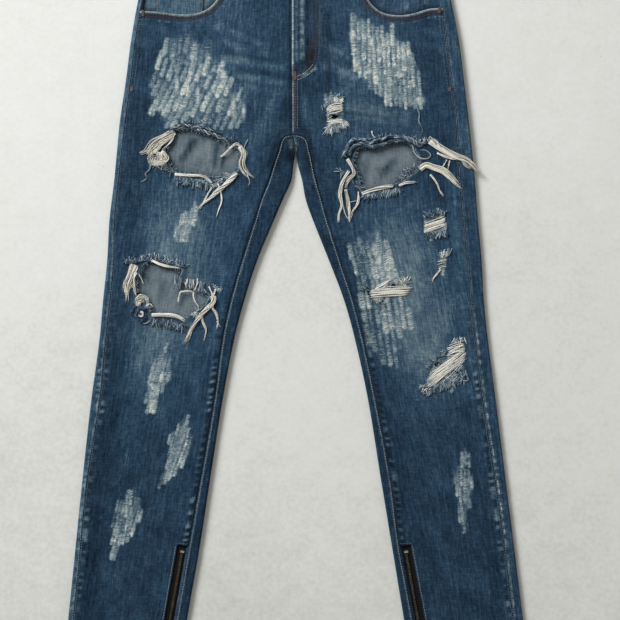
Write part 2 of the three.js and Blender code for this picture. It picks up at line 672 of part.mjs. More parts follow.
function frayedRim(rip) {
  const outline = rimLoop(rip.rim);
  const count = outline.length;
  const turn = Math.sign(THREE.ShapeUtils.area(outline.map((p) => new THREE.Vector2(p.x, p.y))));
  const inward = outline.map((_, k) => {
    const along = outline[(k + 1) % count].clone().sub(outline[(k + count - 1) % count]).normalize();
    return new THREE.Vector3(-along.y, along.x, 0).multiplyScalar(turn);
  });
  const at = (k, depth) => outline[k].clone().addScaledVector(inward[k], depth);
  const ringEnd = seamGap + ringWidth;
  const section = [[seamGap, -ringDrop], [seamGap, ringRise], [ringEnd, ringRise], [ringEnd, -ringDrop]];
  const points = outline.flatMap((p, k) => section.map(([depth, up]) => (
    at(k, depth).setZ(frontTop(rip.leg, p.x, p.y) + up)
  )));
  const triangles = [];
  for (let k = 0; k < count; k += 1) {
    for (let n = 0; n < 4; n += 1) {
      const [a, b] = [4 * k + n, 4 * k + ((n + 1) % 4)];
      const [c, d] = [4 * ((k + 1) % count) + n, 4 * ((k + 1) % count) + ((n + 1) % 4)];
      triangles.push(...(turn > 0 ? [a, c, b, b, c, d] : [a, b, c, b, d, c]));
    }
  }
  const roots = outline.map((_, k) => at(k, seamGap + ringWidth / 2));
  const nearest = (x, y) => {
    const away = roots.map((p) => Math.hypot(p.x - x, p.y - y));
    return away.indexOf(Math.min(...away));
  };
  const locks = rowsOf(lockTable).filter((lock) => lock.fray === rip.fray);
  const solid = locks.reduce((sum, lock) => {
    const first = nearest(lock.rootX, lock.rootY);
    const away = new THREE.Vector2(lock.tipX - lock.rootX, lock.tipY - lock.rootY).normalize();
    let whole = sum;
    for (let n = 0; n < lock.strands; n += 1) {
      const share = lock.strands > 1 ? n / (lock.strands - 1) - 0.5 : 0;
      const step = rootPitch * share * (lock.strands - 1);
      const next = roots[(first + Math.sign(step) + count) % count];
      const root = roots[first].clone().lerp(next, Math.abs(step));
      const [sideX, sideY] = [-away.y * share * lock.spread, away.x * share * lock.spread];
      const flat = [
        [root.x, root.y],
        [lock.bendX + 0.7 * sideX, lock.bendY + 0.7 * sideY],
        [lock.tipX + sideX, lock.tipY + sideY],
      ];
      const path = flat.map(([x, y]) => new THREE.Vector3(x, y, lockHeight(rip.leg, x, y, lock.radius)));
      const middles = [0, 1].map((k) => {
        const [x, y] = [(flat[k][0] + flat[k + 1][0]) / 2, (flat[k][1] + flat[k + 1][1]) / 2];
        return new THREE.Vector3(x, y, lockHeight(rip.leg, x, y, lock.radius));
      });
      const route = [path[0], middles[0], path[1], middles[1], path[2]];
      whole = whole.add(toSolid(strand(route, lock.radius)));
    }
    return whole;
  }, toSolid(fromTriangles(points, triangles)));
  place(rip.fray, fromSolid(solid), creamYarn);
}

// Weft left bare across a small tear
function weftRow(weft) {
  const along = new THREE.Vector2(weft.endX - weft.stripX, weft.endY - weft.stripY);
  const across = new THREE.Vector2(-along.y, along.x).normalize();
  const half = ((weft.strands - 1) * weft.pitch) / 2 + weft.radius;
  const route = (offset, parts) => spaced(0, 1, parts).map((t) => {
    const x = weft.stripX + along.x * t + across.x * offset;
    const y = weft.stripY + along.y * t + across.y * offset;
    return new THREE.Vector3(x, y, lockHeight(weft.leg, x, y, weft.radius));
  });
  const ends = [-half, half].map((offset) => route(offset, 1)[0]);
  const level = Math.max(ends[0].z, ends[1].z);
  const stripLength = ends[0].distanceTo(ends[1]);
  const strip = new THREE.BoxGeometry(1.6, stripLength, 1.2)
    .rotateZ(Math.atan2(across.y, across.x) - Math.PI / 2)
    .translate(weft.stripX, weft.stripY, level);
  const solid = spaced(-half + weft.radius, half - weft.radius, weft.strands - 1).reduce(
    (sum, offset) => sum.add(toSolid(strand(route(offset, 4), weft.radius))),
    toSolid(strip),
  );
  place(weft.node, fromSolid(solid), creamYarn);
}

['right', 'left'].forEach((leg) => {
  frontPanel(leg);
  backPanel(leg);
  yoke(leg);
  backPocket(leg);
  pocketFacing(leg);
  ankleZip(leg);
});
waistband();
beltLoops();
waistButton();
coinPocket();
ripTable.filter((rip) => rip.fray).forEach(frayedRim);
rowsOf(weftTable).forEach(weftRow);

export default jeans;
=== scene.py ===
# Ripped skinny jeans laid flat on a pale floor, front side up, seen from straight above.
# The code is in millimetres, the meshes in metres. Right and left are the wearer's, +Y runs to the waist.
import math
from functools import partial
from types import SimpleNamespace

import bpy
import numpy as np
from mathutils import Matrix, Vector, kdtree
from mathutils.geometry import delaunay_2d_cdt


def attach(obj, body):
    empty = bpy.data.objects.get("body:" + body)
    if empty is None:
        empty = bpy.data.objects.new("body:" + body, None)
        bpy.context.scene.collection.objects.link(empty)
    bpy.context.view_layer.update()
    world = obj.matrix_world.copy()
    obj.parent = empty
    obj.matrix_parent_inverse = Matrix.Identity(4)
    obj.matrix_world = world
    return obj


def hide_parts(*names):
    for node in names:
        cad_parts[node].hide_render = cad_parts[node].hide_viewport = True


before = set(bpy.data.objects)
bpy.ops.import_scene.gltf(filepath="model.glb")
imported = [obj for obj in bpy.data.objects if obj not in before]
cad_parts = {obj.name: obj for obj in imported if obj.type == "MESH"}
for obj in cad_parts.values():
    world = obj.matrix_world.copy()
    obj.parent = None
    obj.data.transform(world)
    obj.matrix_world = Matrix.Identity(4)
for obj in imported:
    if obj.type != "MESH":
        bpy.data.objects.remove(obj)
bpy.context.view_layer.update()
mm = 0.001
sideOf = {"right": -1, "left": 1}
print("frame loaded:", len(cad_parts), "nodes")


# Camera, light and floor

picture = {
    "centre": (19.6, 15.3),  # point of the cloth in the middle of the picture
    "across": 837.0,  # cloth across the picture
    "clothZ": 6.0,
    "lens": 85.0,
    "sensor": 36.0,
}
lighting = {
    "ambient": (1.0, 0.965, 0.9, 1.0),
    "ambientStrength": 0.34,
    "windowPlace": (-2650, 3100, 2300),
    "windowAim": (0, 0, 0),
    "windowSize": 1725,
    "windowPower": 260,
}


def overheadCamera():
    lens = bpy.data.cameras.new("overhead")
    lens.lens = picture["lens"]
    lens.sensor_width = picture["sensor"]
    height = picture["clothZ"] + picture["across"] * picture["lens"] / picture["sensor"]
    camera = bpy.data.objects.new("overhead", lens)
    camera.location = (picture["centre"][0] * mm, picture["centre"][1] * mm, height * mm)
    bpy.context.collection.objects.link(camera)
    bpy.context.scene.camera = camera


def softWindow():
    world = bpy.data.worlds.new("room")
    bpy.context.scene.world = world
    world.use_nodes = True
    room = world.node_tree.nodes["Background"]
    room.inputs["Color"].default_value = lighting["ambient"]
    room.inputs["Strength"].default_value = lighting["ambientStrength"]
    window = bpy.data.lights.new("window", "AREA")
    window.size = lighting["windowSize"] * mm
    window.energy = lighting["windowPower"]
    holder = bpy.data.objects.new("window", window)
    holder.location = Vector(lighting["windowPlace"]) * mm
    away = Vector(lighting["windowAim"]) * mm - holder.location
    holder.rotation_mode = "QUATERNION"
    holder.rotation_quaternion = away.to_track_quat("-Z", "Y")
    bpy.context.collection.objects.link(holder)


# Node helpers

def paint(red, green, blue):
    def linear(value):
        share = value / 255
        return share / 12.92 if share <= 0.04045 else ((share + 0.055) / 1.055) ** 2.4
    return (linear(red), linear(green), linear(blue), 1.0)


def connect(tree, node, inputs):
    for key, value in inputs.items():
        socket = node.inputs[key]
        if isinstance(value, bpy.types.NodeSocket):
            tree.links.new(value, socket)
        else:
            socket.default_value = value


def wire(tree, kind, inputs=None, **settings):
    made = tree.nodes.new(kind)
    for key, value in settings.items():
        setattr(made, key, value)
    connect(tree, made, inputs or {})
    return made


def newFinish(name):
    finish = bpy.data.materials.new(name)
    finish.use_nodes = True
    tree = finish.node_tree
    return finish, tree, tree.nodes["Principled BSDF"]


def calc(tree, operation, first, second):
    return wire(tree, "ShaderNodeMath", {0: first, 1: second}, operation=operation).outputs[0]


def total(tree, *terms):
    result = terms[0]
    for term in terms[1:]:
        result = calc(tree, "ADD", result, term)
    return result


def scaled(tree, value, factor):
    return calc(tree, "MULTIPLY", value, factor)


def swing(tree, value, reach):  # a noise from 0 to 1 as a swing either side of nothing
    return scaled(tree, calc(tree, "SUBTRACT", value, 0.5), reach)


def swings(tree, threads, reaches):
    return [swing(tree, threads[key], reach) for key, reach in reaches.items()]


def ramp(tree, factor, stops):
    made = wire(tree, "ShaderNodeValToRGB", {"Fac": factor})
    elements = made.color_ramp.elements
    elements.remove(elements[-1])
    elements[0].position = stops[0][0]
    elements[0].color = stops[0][1]
    for place, colour in stops[1:]:
        elements.new(place).color = colour
    return made.outputs["Color"]


def mixColour(tree, factor, first, second):
    made = wire(tree, "ShaderNodeMix", {0: factor, 6: first, 7: second}, data_type="RGBA")
    return made.outputs[2]


def attribute(tree, name, output="Fac"):
    return wire(tree, "ShaderNodeAttribute", attribute_name=name).outputs[output]


def objectPlace(tree):
    return wire(tree, "ShaderNodeTexCoord").outputs["Object"]


def noise(tree, place, scale, detail):
    inputs = {"Vector": place, "Scale": scale, "Detail": detail}
    return wire(tree, "ShaderNodeTexNoise", inputs).outputs["Fac"]


def threadNoise(tree, grain, across, along, detail=3.0):
    stretched = wire(tree, "ShaderNodeVectorMath", {0: grain, 1: (across, along, 200)}, operation="MULTIPLY")
    inputs = {"Vector": stretched.outputs[0], "Scale": 1.0, "Detail": detail, "Roughness": 0.6}
    return wire(tree, "ShaderNodeTexNoise", inputs).outputs["Fac"]


def bumped(tree, height, strength, depth):
    inputs = {"Height": height, "Strength": strength, "Distance": depth}
    return wire(tree, "ShaderNodeBump", inputs).outputs["Normal"]


# Finishes

denimLook = {
    "tones": [
        (0.0, paint(12, 26, 41)), (0.3, paint(33, 57, 78)), (0.5, paint(51, 78, 102)),
        (0.75, paint(91, 115, 128)), (1.0, paint(138, 153, 157)),
    ],
    "wornTones": [
        (0.0, paint(70, 95, 112)), (0.3, paint(100, 122, 134)), (0.6, paint(144, 160, 165)),
        (0.85, paint(188, 197, 195)), (1.0, paint(214, 214, 204)),
    ],
    "level": 0.3,  # tone of unworn cloth
    "fadeReach": 0.46,
    "rust": paint(52, 46, 53),
    # colour that painted shade darkens the cloth towards, in grooves, hollows, folds and rips
    "paintedShade": paint(10, 20, 31),
    "threads": {  # noises along the grain: scale across it, scale along it, detail
        "slub": (300, 26, 4.0), "fine": (620, 130), "weft": (90, 420), "cloud": (44, 30, 4.0),
    },
    "toneSwing": {"slub": 0.7, "fine": 0.7, "weft": 0.46, "cloud": 0.5},
    "wornSwing": {"fine": 1.7, "weft": 1.6, "slub": 0.8},
    "wornFrom": 0.04,
    "wornTo": 0.4,
    "twillScale": 470.0,
    "bump": (0.6, 0.0005),  # strength, and depth in metres
    "roughness": 0.9,
    "specular": 0.12,
}
reverseLook = {
    "tones": [
        (0.0, paint(38, 50, 60)), (0.3, paint(82, 97, 108)), (0.5, paint(110, 123, 131)),
        (0.7, paint(130, 142, 148)), (1.0, paint(162, 170, 173)),
    ],
    "level": 0.5,
    "shadeReach": -0.62,
    "threads": {"slub": (420, 60, 4.0), "weft": (110, 600), "cloud": (60, 45)},
    "toneSwing": {"slub": 0.5, "weft": 0.42, "cloud": 0.4},
    "bump": (0.5, 0.0005),
    "roughness": 0.92,
    "specular": 0.12,
}
yarnLook = {"fuzzScale": 900.0, "dimmest": 0.78, "fuzzReach": 0.44, "bump": (0.5, 0.0003), "sheen": 0.1}
tapeLook = {
    "tones": [(0.2, paint(8, 9, 9)), (0.8, paint(27, 28, 27))],
    "ribScale": 420.0,
    "bump": (0.4, 0.0003),
    "roughness": 0.8,
    "specular": 0.15,
}
plasterLook = {
    "tones": [
        (0.0, paint(190, 192, 186)), (0.25, paint(212, 214, 209)), (0.5, paint(226, 228, 225)),
        (0.75, paint(232, 234, 232)),
    ],
    "noises": {"broad": (3.0, 4.0), "specks": (160.0, 3.0), "trowel": (40.0, 6.0), "grit": (260.0, 2.0)},
    "bump": (0.15, 0.0005),
    "roughness": 0.8,
    "specular": 0.2,
}


def threadsOf(tree, look):
    grain = attribute(tree, "grain", "Vector")
    return grain, {key: threadNoise(tree, grain, *size) for key, size in look["threads"].items()}


def denimFinish(name):
    look = denimLook
    finish, tree, shader = newFinish(name)
    grain, threads = threadsOf(tree, look)
    fade = scaled(tree, attribute(tree, "fade"), look["fadeReach"])
    tone = total(tree, fade, look["level"], *swings(tree, threads, look["toneSwing"]))
    cloth = ramp(tree, tone, look["tones"])
    broken = total(tree, 1.0, *swings(tree, threads, look["wornSwing"]))
    shown = calc(tree, "MULTIPLY", attribute(tree, "worn"), broken)
    soft = {"Value": shown, "From Min": look["wornFrom"], "From Max": look["wornTo"]}
    cover = wire(tree, "ShaderNodeMapRange", soft, interpolation_type="SMOOTHSTEP").outputs["Result"]
    scraped = mixColour(tree, cover, cloth, ramp(tree, shown, look["wornTones"]))
    rusty = mixColour(tree, attribute(tree, "rust"), scraped, look["rust"])
    # painted shade: the cloth darkened where shadow falls in grooves, hollows, folds and rips
    dim = mixColour(tree, attribute(tree, "paintedShade"), rusty, look["paintedShade"])
    waves = {"Vector": grain, "Scale": look["twillScale"], "Distortion": 1.5}
    twill = wire(tree, "ShaderNodeTexWave", waves, bands_direction="DIAGONAL").outputs["Fac"]
    relief = total(
        tree, scaled(tree, twill, 0.3), threads["slub"], threads["fine"], scaled(tree, threads["weft"], 0.8),
    )
    connect(tree, shader, {
        "Base Color": dim, "Normal": bumped(tree, relief, *look["bump"]),
        "Roughness": look["roughness"], "Specular IOR Level": look["specular"],
    })
    return finish


def reverseFinish(name):
    look = reverseLook
    finish, tree, shader = newFinish(name)
    threads = threadsOf(tree, look)[1]
    # painted shade on the reverse, where the back is seen through the rips
    tone = total(
        tree, look["level"], *swings(tree, threads, look["toneSwing"]),
        scaled(tree, attribute(tree, "paintedShade"), look["shadeReach"]),
    )
    relief = total(tree, threads["slub"], threads["weft"])
    connect(tree, shader, {
        "Base Color": ramp(tree, tone, look["tones"]), "Normal": bumped(tree, relief, *look["bump"]),
        "Roughness": look["roughness"], "Specular IOR Level": look["specular"],
    })
    return finish


def yarnFinish(name, roughness):
    look = yarnLook
    finish, tree, shader = newFinish(name)
    fuzz = noise(tree, objectPlace(tree), look["fuzzScale"], 3.0)
    dim = calc(tree, "ADD", look["dimmest"], scaled(tree, fuzz, look["fuzzReach"]))
    tint = attribute(tree, "tint", "Color")
    shaded = wire(tree, "ShaderNodeVectorMath", {0: tint, 1: dim}, operation="MULTIPLY")
    connect(tree, shader, {
        "Base Color": shaded.outputs[0], "Normal": bumped(tree, fuzz, *look["bump"]),
        "Roughness": roughness, "Sheen Weight": look["sheen"],
    })
    return finish


def tapeFinish():
    look = tapeLook
    finish, tree, shader = newFinish("zip_tape")
    grain = attribute(tree, "grain", "Vector")
    waves = {"Vector": grain, "Scale": look["ribScale"]}
    ribbing = wire(tree, "ShaderNodeTexWave", waves, bands_direction="Y").outputs["Fac"]
    weave = threadNoise(tree, grain, 900, 500)
    tone = total(tree, scaled(tree, ribbing, 0.3), scaled(tree, weave, 0.7))
    connect(tree, shader, {
        "Base Color": ramp(tree, tone, look["tones"]), "Normal": bumped(tree, tone, *look["bump"]),
        "Roughness": look["roughness"], "Specular IOR Level": look["specular"],
    })
    return finish


def metalFinish(name, dark, light, roughness):
    finish, tree, shader = newFinish(name)
    stain = noise(tree, objectPlace(tree), 260.0, 4.0)
    connect(tree, shader, {
        "Base Color": ramp(tree, stain, [(0.3, dark), (0.7, light)]),
        "Roughness": calc(tree, "ADD", roughness - 0.1, scaled(tree, stain, 0.2)),
        "Metallic": 1.0,
    })
    return finish


def plasterFinish():
    look = plasterLook
    finish, tree, shader = newFinish("plaster")
    place = objectPlace(tree)
    noises = {key: noise(tree, place, *size) for key, size in look["noises"].items()}
    pits = {"Value": noises["grit"], "From Min": 0.74, "From Max": 0.82, "To Max": -0.9}
    pitted = wire(tree, "ShaderNodeMapRange", pits).outputs["Result"]
    # painted light: the plaster grows paler towards the top of the picture, on the window's side
    height = wire(tree, "ShaderNodeSeparateXYZ", {"Vector": place}).outputs["Y"]
    tone = total(
        tree, scaled(tree, noises["broad"], 0.6), scaled(tree, noises["specks"], 0.4),
        scaled(tree, height, 0.3), swing(tree, noises["trowel"], 0.4), pitted,
    )
    connect(tree, shader, {
        "Base Color": ramp(tree, tone, look["tones"]),
        "Normal": bumped(tree, noises["specks"], *look["bump"]),
        "Roughness": look["roughness"], "Specular IOR Level": look["specular"],
    })
    return finish


def plasterFloor():
    reach = 4.0
    sunk = -0.0003  # just clear of the cloth that lies on it
    corners = [(-reach, -reach, sunk), (reach, -reach, sunk), (reach, reach, sunk), (-reach, reach, sunk)]
    mesh = bpy.data.meshes.new("floor")
    mesh.from_pydata(corners, [], [(0, 1, 2, 3)])
    mesh.materials.append(plasterFinish())
    floor = bpy.data.objects.new("floor", mesh)
    bpy.context.collection.objects.link(floor)


overheadCamera()
softWindow()
plasterFloor()
bpy.context.scene.view_settings.view_transform = "Standard"
denim = denimFinish("denim")
reverse = reverseFinish("denim_reverse")
yarn = yarnFinish("yarn", 0.92)
sewing = yarnFinish("sewing_thread", 0.7)
tapeCloth = tapeFinish()
darkMetal = metalFinish("dark_metal", paint(50, 46, 41), paint(96, 89, 78), 0.42)
# a paler copy of the zip metal for the end stops, a painted glint
glintMetal = metalFinish("glint_metal", paint(170, 162, 150), paint(226, 222, 214), 0.3)
print("camera, light, floor and finishes ready")


# Mesh helpers

def makePiece(name, points, triangles, finishes, body="jeans", faceSlots=None, floats=None,
              grain=None, tints=None, wallsFrom=None):
    mesh = bpy.data.meshes.new(name)
    mesh.from_pydata((points * mm).tolist(), [], triangles.tolist())
    for finish in finishes:
        mesh.materials.append(finish)
    if faceSlots is not None:
        mesh.polygons.foreach_set("material_index", faceSlots.astype(np.int32))
    isSmooth = np.ones(len(triangles), dtype=bool)
    isSmooth[len(triangles) if wallsFrom is None else wallsFrom:] = False  # cut edges stay crisp
    mesh.polygons.foreach_set("use_smooth", isSmooth)
    for key, values in (floats or {}).items():
        mesh.attributes.new(key, "FLOAT", "POINT").data.foreach_set("value", values.astype(np.float32))
    if grain is not None:
        layer = mesh.attributes.new("grain", "FLOAT_VECTOR", "POINT")
        layer.data.foreach_set("vector", (grain * mm).astype(np.float32).ravel())
    if tints is not None:
        opaque = np.column_stack([tints, np.ones(len(tints))])
        mesh.attributes.new("tint", "FLOAT_COLOR", "POINT").data.foreach_set("color", opaque.ravel())
    mesh.update()
    piece = bpy.data.objects.new(name, mesh)
    bpy.context.collection.objects.link(piece)
    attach(piece, body)
    return piece


def columns(*parts):  # side by side, with a single number repeated all the way down
    return np.column_stack(np.broadcast_arrays(*parts))


def wallBetween(p, q, count):  # from the upper edges p to q down to the points count further on
    return np.concatenate([columns(q, p, p + count), columns(q, p + count, q + count)])


# A closed wall under a grid of surface points. Missing cells are nan. facing is 1 where columns, rows and
# the outside of the cloth make a right-handed set. Inner points follow the outer ones in the same order.
def gridShell(grid, wall, facing):
    present = ~np.isnan(grid[..., 0])
    ids = np.full(present.shape, -1)
    ids[present] = np.arange(present.sum())
    points = grid[present]
    corners = [ids[:-1, :-1], ids[:-1, 1:], ids[1:, 1:], ids[1:, :-1]]
    quads = np.stack(corners, axis=-1).reshape(-1, 4)
    quads = quads[(quads >= 0).all(axis=1)]
    if facing < 0:
        quads = quads[:, ::-1]
    slant = np.cross(points[quads[:, 2]] - points[quads[:, 0]], points[quads[:, 3]] - points[quads[:, 1]])
    normals = np.zeros_like(points)
    np.add.at(normals, quads.ravel(), np.repeat(slant, 4, axis=0))
    normals /= np.linalg.norm(normals, axis=1, keepdims=True) + 1e-12
    count = len(points)
    outer = np.concatenate([quads[:, [0, 1, 2]], quads[:, [0, 2, 3]]])
    inner = outer[:, ::-1] + count
    edges = np.concatenate([quads[:, [k, (k + 1) % 4]] for k in range(4)])
    rim = edges[~np.isin(edges[:, 0] * count + edges[:, 1], edges[:, 1] * count + edges[:, 0])]
    walls = wallBetween(*rim.T, count)
    triangles = np.concatenate([outer, inner, walls])
    slots = np.concatenate([np.zeros(len(outer)), np.ones(len(inner) + len(walls))])
    return np.concatenate([points, points - wall * normals]), triangles, slots, normals


# Tubes from arrays: paths are (tubes, points, 3), radii (tubes, points) and tints (tubes, 3), or with a tint
# for each point (tubes, points, 3)
def tubeParts(paths, radii, tints, ringSides=5):
    tubes, steps = paths.shape[:2]
    along = np.gradient(paths, axis=1)
    along /= np.linalg.norm(along, axis=2, keepdims=True) + 1e-9
    across = np.cross(along, np.array([0.0, 0.0, 1.0]))
    across[np.linalg.norm(across, axis=2) < 0.05] = (1.0, 0.0, 0.0)
    across /= np.linalg.norm(across, axis=2, keepdims=True)
    lift = np.cross(across, along)
    angles = np.arange(ringSides) * 2 * math.pi / ringSides
    ring = np.cos(angles)[:, None] * across[:, :, None, :] + np.sin(angles)[:, None] * lift[:, :, None, :]
    points = (paths[:, :, None, :] + radii[:, :, None, None] * ring).reshape(-1, 3)
    ids = np.arange(tubes * steps * ringSides).reshape(tubes, steps, ringSides)
    turned = np.roll(ids, -1, axis=2)
    a, b = ids[:, :-1].ravel(), ids[:, 1:].ravel()
    c, d = turned[:, 1:].ravel(), turned[:, :-1].ravel()
    faces = [columns(a, b, c), columns(a, c, d)]
    for k in range(1, ringSides - 1):
        faces.append(columns(ids[:, 0, 0], ids[:, 0, k], ids[:, 0, k + 1]))
        faces.append(columns(ids[:, -1, 0], ids[:, -1, k + 1], ids[:, -1, k]))
    if tints.ndim == 2:
        tints = np.repeat(tints[:, None], steps, axis=1)
    return points, np.concatenate(faces), np.repeat(tints.reshape(-1, 3), ringSides, axis=0)


def joinParts(parts):
    shift = 0
    points, faces, tints = [], [], []
    for part in parts:
        points.append(part[0])
        faces.append(part[1] + shift)
        tints.append(part[2])
        shift += len(part[0])
    return np.concatenate(points), np.concatenate(faces), np.concatenate(tints)


def alongLine(line, count):  # a line of points in even steps
    line = np.asarray(line, float)
    walked = np.concatenate([[0], np.cumsum(np.linalg.norm(np.diff(line, axis=0), axis=1))])
    marks = np.linspace(0, walked[-1], count)
    return np.column_stack([np.interp(marks, walked, line[:, k]) for k in range(line.shape[1])])


def lengthOf(line):
    return np.linalg.norm(np.diff(np.asarray(line, float), axis=0), axis=1).sum()


def closeLoop(loop):
    return np.concatenate([loop, loop[:1]])


def roundedLine(points, closed=False, perSpan=10):  # centripetal curve through a few given points
    points = np.asarray(points, float)
    if closed:
        ring = np.concatenate([points[-1:], points, points[:2]])
    else:
        ring = np.concatenate([2 * points[:1] - points[1:2], points, 2 * points[-1:] - points[-2:-1]])
    curve = []
    for p0, p1, p2, p3 in zip(ring[:-3], ring[1:-2], ring[2:-1], ring[3:]):
        t1 = np.linalg.norm(p1 - p0) ** 0.5
        t2 = t1 + np.linalg.norm(p2 - p1) ** 0.5
        t3 = t2 + np.linalg.norm(p3 - p2) ** 0.5
        t = np.linspace(t1, t2, perSpan, endpoint=False)[:, None]
        a1 = (t1 - t) / t1 * p0 + t / t1 * p1
        a2 = (t2 - t) / (t2 - t1) * p1 + (t - t1) / (t2 - t1) * p2
        a3 = (t3 - t) / (t3 - t2) * p2 + (t - t2) / (t3 - t2) * p3
        b1 = (t2 - t) / t2 * a1 + t / t2 * a2
        b2 = (t3 - t) / (t3 - t1) * a2 + (t - t1) / (t3 - t1) * a3
        curve.append((t2 - t) / (t2 - t1) * b1 + (t - t1) / (t2 - t1) * b2)
    curve = np.concatenate(curve)
    return curve if closed else np.concatenate([curve, points[-1:]])


def distanceTo(line, x, y):  # distance to the nearest of a line's points
    nearest = np.full(x.shape, 1e9)
    for px, py in line:
        nearest = np.minimum(nearest, (x - px) ** 2 + (y - py) ** 2)
    return np.sqrt(nearest)


def smooth(t):
    s = np.clip(t, 0, 1)
    return s * s * (3 - 2 * s)


def bell(distance, width):
    return np.exp(-((distance / width) ** 2))


def cloudy(x, y, seed):  # a smooth random field from 0 to 1 whose cells are one unit wide
    cellX, cellY = np.floor(x), np.floor(y)
    shareX, shareY = smooth(x - cellX), smooth(y - cellY)

    def corner(i, j):
        value = np.sin(i * 127.1 + j * 311.7 + seed * 74.7) * 43758.5453
        return value - np.floor(value)
    low = corner(cellX, cellY) * (1 - shareX) + corner(cellX + 1, cellY) * shareX
    high = corner(cellX, cellY + 1) * (1 - shareX) + corner(cellX + 1, cellY + 1) * shareX
    return low * (1 - shareY) + high * shareY


# The cut: outlines and heights that all panels share

cut = {
    "denim": 1.2, "patch": 1.1, "seamGap": 0.3,
    "hemY": -518, "crotchFoldY": 230, "frontCrotchY": 253, "centreFrontX": -4,
    "flyEndY": 330, "flyStartY": 345, "flyLift": 1.6,
    "waistY": 478, "frontDip": 12, "backRise": 2, "bandHeight": 38, "bandWall": 2.2, "bandHalf": 202,
    "bandTaper": 0.17, "foldRadius": 3.5, "crotchRadius": 1.8, "hipLift": 1.4, "legMid": 3.8, "hipMid": 7.2,
    "loftReach": 22, "yokeSideY": 445, "yokeCentreY": 412, "yokeReach": 186,
    "zipWidth": 16.5, "zipTopY": -302,
}
edgeColumns = ("y", "rightEdge", "rightSeam", "leftEdge", "leftSeam")
outerRows = [  # distances from the centre line to the outer edge and the side seam of each leg
    (478, 202, 197, 201, 191), (434, 212.5, 207, 210, 197.5), (380, 222, 216.5, 220.5, 203.5),
    (326, 229, 223, 227.5, 210.5), (272, 237, 230, 234, 217), (231, 241, 235, 238.5, 219.5),
    (191, 245, 239.5, 242.5, 222), (137, 251.5, 245, 246.5, 227.5), (83, 254.5, 246, 251.5, 232.5),
    (29, 260, 251, 254.5, 237), (-25, 265, 257, 260, 243.5), (-106, 276, 265, 270.5, 253.5),
    (-214, 288, 282, 284, 270.5), (-322, 299, 292.5, 297.5, 285), (-430, 310, 303.5, 310.5, 298),
    (-518, 319, 312.5, 319, 307),
]
innerRows = [  # the same for the inner edge and the inseam
    (253, 0.2, 4.15, 0.2, -3.85), (249, 0.2, 15.5, 0.2, 11.5), (230, 0.2, 22.5, 0.4, 19),
    (211, 3, 29, 3.4, 23), (191, 5.5, 35, 8.8, 27.5), (164, 17.5, 45.5, 14, 35), (137, 29, 54, 23.5, 42.5),
    (83, 51.5, 71, 45, 59.5), (29, 69, 86.5, 65.5, 77), (-25, 83, 98, 80.5, 91), (-106, 98.5, 109, 98, 108),
    (-214, 115.5, 127.5, 115.5, 128), (-302, 129, 143, 130, 139.5), (-402, 146.5, 160.5, 146.5, 158),
    (-518, 166, 181, 166, 178),
]
foldRows = [  # broad folds of the fronts: from, to, half width and height
    (-30, 262, -150, 330, 24, 1.4), (24, 262, 140, 322, 24, 1.4), (-130, 120, -190, -20, 30, 1.1),
    (110, 90, 190, -10, 30, 1.1), (-180, -120, -250, -250, 28, 0.9), (170, -110, 240, -260, 28, 0.9),
]
creaseRows = [  # narrower creases pressed and worn into the fronts, uneven in length and depth
    (-38, 283, -116, 318, 6, 0.8), (-44, 308, -112, 358, 5, 0.7), (-50, 334, -98, 392, 5, 0.6),
    (-34, 268, -92, 276, 6, -0.6), (-222, 322, -186, 296, 8, 0.5), (-226, 286, -196, 262, 7, -0.5),
    (-236, 188, -196, 172, 8, 0.6), (-64, 168, -96, 122, 9, 0.6), (-240, 128, -204, 104, 7, 0.5),
    (-108, 84, -84, 52, 7, 0.6), (-246, 20, -222, 2, 7, 0.5), (-98, 8, -122, -58, 9, 0.6),
    (-252, -62, -212, -82, 9, 0.6), (-116, -72, -150, -88, 8, 0.5), (-262, -146, -222, -172, 9, 0.5),
    (-136, -176, -172, -190, 9, 0.5), (-272, -232, -234, -262, 10, 0.5), (-160, -252, -206, -282, 10, 0.5),
    (-200, -330, -282, -352, 12, 0.6), (-214, -424, -300, -440, 13, 0.6), (-196, -478, -262, -470, 11, 0.5),
    (-184, 186, -214, 96, 13, -0.6), (-132, -30, -168, -196, 15, -0.6), (-232, -206, -262, -416, 13, -0.6),
    (36, 283, 104, 340, 6, 0.8), (44, 310, 100, 362, 5, 0.7), (46, 338, 90, 396, 5, 0.6),
    (30, 266, 86, 280, 6, -0.6), (206, 330, 178, 300, 8, 0.5), (214, 292, 190, 268, 7, -0.5),
    (52, 172, 88, 116, 9, 0.6), (226, 104, 196, 96, 7, 0.5), (232, 36, 196, 12, 8, 0.5),
    (94, -22, 116, -78, 9, 0.6), (246, -92, 214, -112, 9, 0.6), (116, -118, 152, -132, 8, 0.5),
    (256, -150, 226, -158, 9, 0.5), (134, -206, 176, -226, 9, 0.5), (268, -276, 230, -306, 10, 0.5),
    (160, -262, 204, -296, 10, 0.5), (196, -348, 280, -366, 12, 0.6), (216, -432, 296, -450, 13, 0.6),
    (190, -484, 258, -474, 11, 0.5), (176, 168, 208, 86, 13, -0.6), (128, -60, 160, -206, 15, -0.6),
    (226, -212, 258, -420, 13, -0.6),
]
mouthRows = {  # points on the edge of each pocket mouth, from the side seam up to the waist seam
    "right": [
        (209.5, 418.5), (190, 418), (158, 414.3), (137, 415), (119, 421.5), (107, 433), (96, 452), (88, 480),
    ],
    "left": [
        (199.3, 422.5), (180, 421.5), (160, 415.7), (142, 413), (121, 415.5), (108, 423), (99, 434),
        (94, 455), (91, 480),
    ],
}


